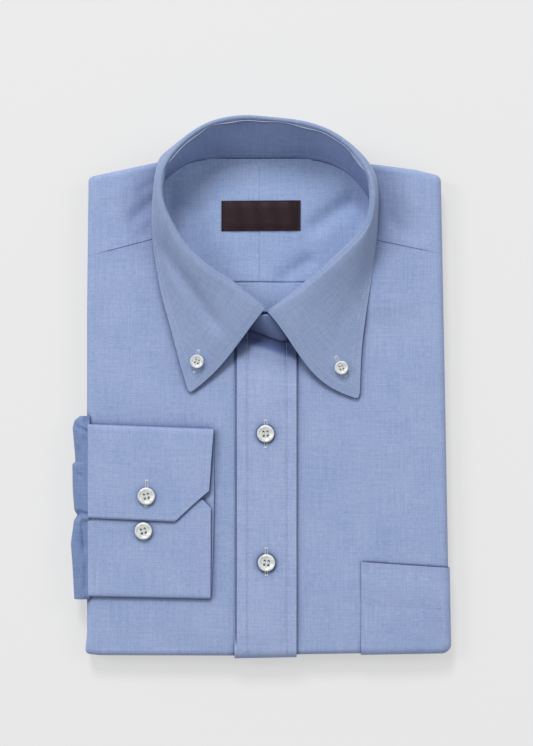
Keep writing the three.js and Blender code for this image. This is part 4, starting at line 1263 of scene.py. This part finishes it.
def sleeve_end():
    """Sections across the sleeve, each from under the cuff round the body's edge to below it."""
    rows = refine(SLEEVE, SLEEVE_ROW_GAP)
    grid = []
    for y, reach, lift in rows:
        covered = float(smooth(-10, -15, y) * smooth(-128, -125, y))
        under_flap = float(smooth(-77, -74, y))
        under_cuff = float(top_height(-117, y)) + 1.2 + 0.5 * covered + covered * (0.95 + 1.5 * under_flap)
        path = np.array([
            (SLEEVE_SEAM_X, under_cuff), (-117.8, under_cuff + 0.1),
            (-120.5, (under_cuff + SLEEVE_TOP + lift) / 2),
            (-reach + 2.6, SLEEVE_TOP - 1.6 + lift), (-reach + 0.5, SLEEVE_TOP - 4.6 + lift),
            (-reach, 12), (-reach + 0.8, 7.4), (-reach + 3.4, 4.4), (-reach + 8, SLEEVE_BOTTOM),
            (SLEEVE_TUCK_X, SLEEVE_BOTTOM),
        ])
        drawn = curve_through(path, 6)
        grid.append(np.column_stack([drawn[:, 0], np.full(len(drawn), y), drawn[:, 1]]))
    points = np.array(grid)
    upper = smooth(12, 17, points[..., 2])
    points[..., 2] += creases(points[..., 0], points[..., 1], SLEEVE_CREASES) * upper
    return woven_grid("sleeve_end_cloth", points, flat_places(points), SLEEVE_PAINTED_SHADE_COTTON, 1.4, smooth_steps=1)


sleeve = sleeve_end()
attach(sleeve, "root")
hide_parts("sleeve_end")

# The buttons: turned from pearl shell, each with a raised rim, a dished middle and four holes,
# and sewn on with two bars of pale thread.
def pearl_finish():
    """Polished shell: cloudy bands from grey to cream under a thin clear coat."""
    finish, tree, shader = new_finish("pearl_shell")
    place = add_node(tree, "ShaderNodeTexCoord", {}).outputs["Object"]
    bands = add_node(
        tree, "ShaderNodeTexNoise", {"Vector": place, "Scale": 260.0, "Detail": 3.0, "Distortion": 1.2}
    ).outputs["Fac"]
    tint = add_node(tree, "ShaderNodeValToRGB", {"Fac": bands})
    tint.color_ramp.elements[0].position = 0.30
    tint.color_ramp.elements[0].color = (0.50, 0.55, 0.55, 1)
    tint.color_ramp.elements[1].position = 0.68
    tint.color_ramp.elements[1].color = (0.86, 0.87, 0.82, 1)
    tree.links.new(tint.outputs["Color"], shader.inputs["Base Color"])
    shader.inputs["Roughness"].default_value = 0.22
    shader.inputs["Coat Weight"].default_value = 0.5
    shader.inputs["Coat Roughness"].default_value = 0.08
    return finish


PEARL = pearl_finish()


def strands_group():
    """The fine strands of a sewing thread, between its full colour and a darker one."""
    group, inside, out = new_group(
        "thread_strands",
        [
            ("Dark strand", "NodeSocketColor", (0.4, 0.4, 0.4, 1)),
            ("Pale strand", "NodeSocketColor", (0.5, 0.5, 0.5, 1)),
        ],
        [("Colour", "NodeSocketColor")],
    )
    place = add_node(group, "ShaderNodeTexCoord", {}).outputs["Object"]
    strands = add_node(
        group, "ShaderNodeTexNoise", {"Vector": place, "Scale": 1800.0, "Detail": 1.0}
    ).outputs["Fac"]
    blend = add_node(
        group, "ShaderNodeMix",
        {0: strands, 6: inside.outputs["Dark strand"], 7: inside.outputs["Pale strand"]},
        data_type="RGBA", clamp_factor=True,
    )
    group.links.new(blend.outputs[2], out.inputs["Colour"])
    return group


STRANDS = strands_group()
STRAND_DARKENING = 0.82


def thread_finish(name, colour):
    """A sewing thread of one colour."""
    finish, tree, shader = new_finish(name)
    strands = use_group(tree, STRANDS)
    strands.inputs["Dark strand"].default_value = (*(channel * STRAND_DARKENING for channel in colour), 1)
    strands.inputs["Pale strand"].default_value = (*colour, 1)
    tree.links.new(strands.outputs["Colour"], shader.inputs["Base Color"])
    shader.inputs["Roughness"].default_value = 0.6
    return finish


PALE_THREAD = thread_finish("pale_thread", (0.60, 0.66, 0.74))


def tube_faces(rings, around, start=0):
    """The faces of a tube made of rings of points, closed at both ends."""
    faces = []
    for first in range(start, start + (rings - 1) * around, around):
        for k in range(around):
            a, b = first + k, first + (k + 1) % around
            faces.append((a, b, b + around, a + around))
    faces.append(tuple(range(start, start + around))[::-1])
    faces.append(tuple(range(start + (rings - 1) * around, start + rings * around)))
    return faces


def lathe(profile, steps):
    """Points and faces of a profile of radius and height turned about the vertical."""
    points = []
    for radius, height in profile:
        for k in range(steps):
            turn = 2 * math.pi * k / steps
            points.append((radius * math.cos(turn), radius * math.sin(turn), height))
    return points, tube_faces(len(profile), steps)


def plain_mesh(name, points, faces):
    mesh = bpy.data.meshes.new(name)
    mesh.from_pydata([tuple(c * MM for c in p) for p in points], [], faces)
    return mesh


def button_mesh(name, radius, thick, hole, spread):
    """A turned disc with four holes, whose middles lie at a given distance from its own."""
    rim = [
        (radius * 0.72, 0.0), (radius * 0.9, thick * 0.12), (radius * 0.985, thick * 0.35),
        (radius, thick * 0.55), (radius * 0.985, thick * 0.78), (radius * 0.93, thick * 0.95),
        (radius * 0.85, thick), (radius * 0.76, thick * 0.96), (radius * 0.68, thick * 0.84),
        (radius * 0.6, thick * 0.72), (radius * 0.5, thick * 0.66), (radius * 0.02, thick * 0.62),
    ]
    disc = new_object(name, plain_mesh(name, *lathe(rim, 56)))
    pin_points, pin_faces = [], []
    for sx, sy in ((1, 1), (-1, 1), (-1, -1), (1, -1)):
        start = len(pin_points)
        points, faces = lathe([(hole, -thick), (hole, thick * 2)], 20)
        offset = spread / math.sqrt(2)
        pin_points.extend((x + sx * offset, y + sy * offset, z) for x, y, z in points)
        pin_faces.extend(tuple(k + start for k in face) for face in faces)
    pins = new_object(name + "_pins", plain_mesh(name + "_pins", pin_points, pin_faces))
    drilled = disc.modifiers.new("holes", "BOOLEAN")
    drilled.object = pins
    drilled.operation = "DIFFERENCE"
    drilled.solver = "EXACT"
    bpy.context.view_layer.update()
    mesh = bpy.data.meshes.new_from_object(disc.evaluated_get(bpy.context.evaluated_depsgraph_get()))
    for thing in (disc, pins):
        bpy.data.objects.remove(thing)
    mesh.shade_smooth()
    mesh.set_sharp_from_angle(angle=math.radians(38))
    mesh.materials.clear()
    mesh.materials.append(PEARL)
    return mesh


def thread_bar(start, end, radius, rise):
    """A short arched strand between two points, as an eight sided tube."""
    start, end = Vector(start), Vector(end)
    along = (end - start).normalized()
    side = along.cross(Vector((0, 0, 1))).normalized()
    points = []
    rings, around = 9, 8
    for i in range(rings):
        share = i / (rings - 1)
        middle = start.lerp(end, share) + Vector((0, 0, rise * math.sin(math.pi * share)))
        taper = radius * (0.35 + 0.65 * math.sin(math.pi * share) ** 0.4) if 0 < share < 1 else radius * 0.3
        for k in range(around):
            turn = 2 * math.pi * k / around
            across = side * taper * math.cos(turn)
            points.append(middle + across + Vector((0, 0, taper * math.sin(turn))))
    return points, tube_faces(rings, around)


LARGE = {"radius": 5.7, "thick": 2.4, "hole": 0.8, "spread": 1.829}
SMALL = {"radius": 4.45, "thick": 2.0, "hole": 0.62, "spread": 1.416}
large_button = button_mesh("large_button", **LARGE)
small_button = button_mesh("small_button", **SMALL)
BUTTONS = [
    # name, mesh, sizes, place, turn about Z
    ("button_front_1", large_button, LARGE, (*BUTTON_FRONT[0], 20.1), 4),
    ("button_front_2", large_button, LARGE, (*BUTTON_FRONT[1], 20.1), -7),
    ("button_cuff_1", large_button, LARGE, (-78.4, -59.4, 23.0), 12),
    ("button_cuff_2", large_button, LARGE, (-80.4, -82.2, 21.5), 15),
    ("button_collar_right", small_button, SMALL, (-45.4, 28.5, 23.8), -20),
    ("button_collar_left", small_button, SMALL, (48.8, 24.4, 23.8), 18),
]


def sew_button(name, mesh, sizes, place, turn):
    """A button in its place, with the two bars of thread through its holes."""
    button = new_object(name + "_pearl", mesh.copy())
    button.location = Vector(place) * MM
    button.rotation_euler = (0, 0, math.radians(turn))
    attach(button, "root")
    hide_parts(name)
    points, faces = [], []
    offset = sizes["spread"] / math.sqrt(2)
    level = sizes["thick"] * 0.55
    for side in (-1, 1):
        for shift in (-0.16, 0.16):
            start = len(points)
            strand = thread_bar(
                (side * offset + shift, -offset, level), (side * offset + shift, offset, level), 0.2, 0.75
            )
            points.extend(strand[0])
            faces.extend(tuple(k + start for k in face) for face in strand[1])
    threads = new_object(name + "_thread", plain_mesh(name + "_thread", points, faces))
    threads.data.shade_smooth()
    threads.data.materials.append(PALE_THREAD)
    threads.matrix_world = button.matrix_world
    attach(threads, "root")


for row in BUTTONS:
    sew_button(*row)

# The sewing: rows of small lock stitches in blue thread along the edges, and buttonholes worked
# in pale thread, each a narrow ring of close stitches with a bar at both ends.
STITCH_LENGTH = 1.35
STITCH_PITCH = 1.95
STITCH_RADIUS = 0.19
BLUE_THREAD = thread_finish("blue_thread", (0.50, 0.58, 0.77))
BROWN_THREAD = thread_finish("brown_thread", (0.045, 0.026, 0.032))


def add_stitch(points, faces, centre, ahead, normal, length, radius):
    """One stitch: a short strand, thickest in the middle, its ends sunk into the cloth."""
    ahead = ahead - normal * np.dot(ahead, normal)
    ahead = ahead / np.linalg.norm(ahead)
    side = np.cross(normal, ahead)
    faces.extend(tube_faces(4, 6, len(points)))
    for share, size, sink in ((-0.5, 0.35, -0.9), (-0.25, 0.95, 0.35), (0.25, 0.95, 0.35), (0.5, 0.35, -0.9)):
        middle = centre + ahead * length * share + normal * radius * sink
        for k in range(6):
            turn = math.pi * k / 3
            reach = side * math.cos(turn) + normal * math.sin(turn)
            points.append(middle + reach * radius * size)


def sewn_object(name, points, faces, material):
    """An object made of thread."""
    piece = new_object(name, plain_mesh(name, points, faces))
    piece.data.shade_smooth()
    piece.data.materials.append(material)
    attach(piece, "root")
    return piece


def stitch_rows(name, rows, material):
    """Lock stitches along rows, each given as its places and the directions off the cloth there."""
    points, faces = [], []
    for places, normals in rows:
        lengths = run_along(places)
        at = np.arange(STITCH_PITCH / 2, lengths[-1], STITCH_PITCH)
        centre = places_at(at, lengths, places)
        further = places_at(at + 0.5, lengths, places)
        off = places_at(at, lengths, normals)
        for here, there, normal in zip(centre, further, off):
            normal = normal / np.linalg.norm(normal)
            add_stitch(points, faces, here, there - here, normal, STITCH_LENGTH, STITCH_RADIUS)
    return sewn_object(name, points, faces, material)


def grid_line(points, rows, columns):
    """A line over a grid through fractional rows and columns, with the upward normals there."""
    along = np.gradient(points, axis=0)
    across = np.gradient(points, axis=1)
    normals = np.cross(along, across)
    normals /= np.maximum(np.linalg.norm(normals, axis=2), 1e-9)[..., None]

    def sample(table):
        r = np.clip(rows, 0, points.shape[0] - 1.001)
        c = np.clip(columns, 0, points.shape[1] - 1.001)
        i, j = r.astype(int), c.astype(int)
        a, b = (r - i)[:, None], (c - j)[:, None]
        return (
            table[i, j] * (1 - a) * (1 - b) + table[i + 1, j] * a * (1 - b)
            + table[i, j + 1] * (1 - a) * b + table[i + 1, j + 1] * a * b
        )

    off = sample(normals)
    return sample(points), np.where(off[:, 2:3] < 0, -off, off)


def surface_line(height, line, step=2.0):
    """A line in plan laid on a height function, with upright normals."""
    line = np.array(line, float)
    lengths = run_along(line)
    at = np.linspace(0, lengths[-1], max(int(lengths[-1] / step), 2))
    x, y = places_at(at, lengths, line).T
    return np.column_stack([x, y, height(x, y)]), np.tile([0.0, 0.0, 1.0], (len(x), 1))


def placket_face(x, y):
    """The height of the placket's face."""
    hem = np.interp(x, bottom_line[:, 0], bottom_line[:, 1])
    fade = smooth(0, 10, y - hem)
    return top_height(x, y) + (body_relief(x, y) + placket_lift(x, y)) * fade + PLACKET_LIFT


stitch_rows(
    "placket_stitches",
    [surface_line(placket_face, [(at, PLACKET_TOP - 1), (at, -163)]) for at in PLACKET_STITCH],
    BLUE_THREAD,
)


def pocket_face(x, y):
    """The height of the pocket's face."""
    return top_height(x, y) + pocket_relief(x, y) + POCKET_LIFT


stitch_rows(
    "pocket_stitches",
    [
        surface_line(pocket_face, [(63.4, -104.6), (63.4, -160)]),
        surface_line(pocket_face, [(63.4, -104.6), (67.0, -104.8), (63.4, -112.0)]),
        surface_line(pocket_face, [(63.4, -127.5), (67.0, -130.6), (63.4, -133.2)]),
    ],
    BLUE_THREAD,
)

stitch_rows(
    "pocket_hem_stitches",
    [surface_line(lambda x, y: pocket_face(x, y) + 0.12, [(64.0, -130.2), (115.5, -133.1)])],
    PALE_THREAD,
)

leaf_columns = leaf_points.shape[1]
leaf_rows = leaf_points.shape[0]
EDGE_STITCH = 6.0


def leaf_column_from_edge(row, distance):
    """The column of the leaf's grid that lies a given distance in from its outer edge."""
    lengths = run_along(leaf_points[row, ::-1])
    return leaf_columns - 1 - np.interp(distance, lengths, np.arange(leaf_columns))


def leaf_row_from_end(column, distance, from_start):
    """The row of the leaf's grid that lies a given distance in from one of its ends."""
    lengths = run_along(leaf_points[:: 1 if from_start else -1, column])
    row = np.interp(distance, lengths, np.arange(leaf_rows))
    return row if from_start else leaf_rows - 1 - row


def leaf_stitching():
    """Rows a little in from the leaf's two ends and, between them, from its long edge."""
    rows = []
    columns = np.arange(RIM_COLUMNS, leaf_columns)
    last = {}
    for from_start in (True, False):
        at = np.array([leaf_row_from_end(c, EDGE_STITCH, from_start) for c in columns])
        stop = leaf_column_from_edge(int(round(at[-1])), EDGE_STITCH)
        keep = columns <= stop
        rows.append(grid_line(leaf_points, at[keep], columns[keep].astype(float)))
        last[from_start] = at[keep][-1]
    along = np.linspace(last[True], last[False], 400)
    columns = np.array([leaf_column_from_edge(int(round(r)), EDGE_STITCH) for r in along])
    rows.append(grid_line(leaf_points, along, columns))
    return rows


stitch_rows("collar_stitches", leaf_stitching(), BLUE_THREAD)


def cord(name, line, radius, material):
    """A thin round cord laid along a line of places."""
    line = np.array(line)
    ahead = np.gradient(line, axis=0)
    ahead /= np.linalg.norm(ahead, axis=1)[:, None]
    side = np.cross(ahead, [0, 0, 1.0])
    side /= np.linalg.norm(side, axis=1)[:, None]
    up = np.cross(side, ahead)
    around = 6
    points = []
    for k in range(around):
        turn = 2 * math.pi * k / around
        points.append(line + radius * (side * math.cos(turn) + up * math.sin(turn)))
    points = np.stack(points, axis=1).reshape(-1, 3)
    return sewn_object(name, points, tube_faces(len(line), around), material)


back_of_neck = slice(6 * STATIONS_BETWEEN, 14 * STATIONS_BETWEEN)
cord("collar_facing_edge", leaf_points[back_of_neck, 1] + [0, 0, 0.1], 0.24, BLUE_THREAD)
stand_rows = np.linspace(4, stand_points.shape[0] - 5, 500)
stand_row = grid_line(stand_points, stand_rows, np.full(len(stand_rows), 2.2))
stitch_rows("stand_stitches", [stand_row], BLUE_THREAD)


def cuff_stitching():
    """Rows a little in from the flap's free edges, and along the seam to the sleeve."""
    flap_rows = np.flatnonzero(cuff_points[:, 20, 2] > top_height(-76, -50) + 4.3)
    first, last = flap_rows.min(), flap_rows.max()
    columns = cuff_points.shape[1]
    width = np.abs(cuff_points[:, 0, 0] - cuff_points[:, -1, 0])
    rows = np.linspace(first, last, 60)
    near = np.interp(rows, np.arange(len(width)), EDGE_STITCH / width) * (columns - 1)
    result = [grid_line(cuff_points, rows + 2.6, near)]
    across = np.linspace(near[0], columns - 2, 60)
    result.append(grid_line(cuff_points, np.full(60, first + 2.6), across))
    under = np.arange(cuff_points.shape[0] - 28, cuff_points.shape[0] - 3).astype(float)
    result.append(grid_line(cuff_points, under, np.full(len(under), (columns - 1) * (1 - EDGE_STITCH / 80))))
    return result


stitch_rows("cuff_stitches", cuff_stitching(), BLUE_THREAD)


def label_face(x, y):
    """The height of the label's stitched ends."""
    return neck_surface(x, y) + LABEL_LIFT + 0.08


stitch_rows(
    "label_stitches",
    [
        surface_line(label_face, [(at, LABEL_BOTTOM + low), (at, LABEL_TOP - high)])
        for at, low, high in ((LABEL_RIGHT + LABEL_STITCH, 0.6, 0.4), (LABEL_LEFT - LABEL_STITCH, 0.9, 0))
    ],
    BROWN_THREAD,
)


def buttonhole(name, centre, direction, height, length, width=2.6):
    """A ring of close stitches across a slit, with a heavier bar at each end."""
    points, faces = [], []
    ahead = np.array([direction[0], direction[1], 0.0])
    ahead /= np.linalg.norm(ahead)
    side = np.array([-ahead[1], ahead[0], 0.0])
    normal = np.array([0.0, 0.0, 1.0])
    steps = int(length / 0.42)
    for k in range(steps + 1):
        along = -length / 2 + length * k / steps
        for sign in (-1, 1):
            wobble = 0.08 * math.sin(2.3 * k + sign)
            place = np.array([*centre, 0.0]) + ahead * along + side * sign * (width * 0.30 + wobble)
            place[2] = height(place[0], place[1])
            add_stitch(points, faces, place, side, normal, width * 0.42, 0.2)
    for sign in (-1, 1):
        for k in range(4):
            place = np.array([*centre, 0.0]) + ahead * sign * (length / 2 + 0.25 * k)
            place[2] = height(place[0], place[1])
            add_stitch(points, faces, place, side, normal, width * 1.15, 0.24)
    return sewn_object(name, points, faces, PALE_THREAD)


def grid_height(points):
    """A height function over a grid that may fold under itself, from the points nearest in plan."""
    flat = points.reshape(-1, 3)
    normals = np.cross(np.gradient(points, axis=0).reshape(-1, 3), np.gradient(points, axis=1).reshape(-1, 3))
    normals /= np.maximum(np.linalg.norm(normals, axis=1), 1e-9)[:, None]
    normals[normals[:, 2] < 0] *= -1
    steep = normals[:, 2] <= 0.25

    def height(x, y):
        distance = np.hypot(flat[:, 0] - x, flat[:, 1] - y)
        distance[steep] = 1e9
        order = np.argsort(distance)[:12]
        order = order[flat[order, 2] > flat[order, 2].max() - 1.2][:4]
        weight = 1 / (distance[order] + 0.05) ** 2
        offsets = np.column_stack([x - flat[order, 0], y - flat[order, 1]])
        lean = -(normals[order, :2] * offsets).sum(axis=1) / np.maximum(normals[order, 2], 0.25)
        return float(np.average(flat[order, 2] + lean, weights=weight))

    return height


def single(face):
    """The height function of a face for one place at a time."""
    return lambda x, y: float(face(np.array([x]), np.array([y]))[0])


buttonhole("buttonhole_front_1", (-0.5, -18.9), (0.0, 1.0), single(placket_face), 17.0)
buttonhole("buttonhole_front_2", (0.0, -102.4), (0.0, 1.0), single(placket_face), 17.0)
buttonhole("buttonhole_cuff", (-78.4, -57.5), (0.05, 1.0), grid_height(cuff_points[:40]), 16.0)
buttonhole("buttonhole_collar_right", (-45.6, 28.6), (0.19, 1.0), grid_height(leaf_points), 13.5, 2.2)
buttonhole("buttonhole_collar_left", (48.6, 25.2), (-0.52, 1.0), grid_height(leaf_points), 13.5, 2.2)
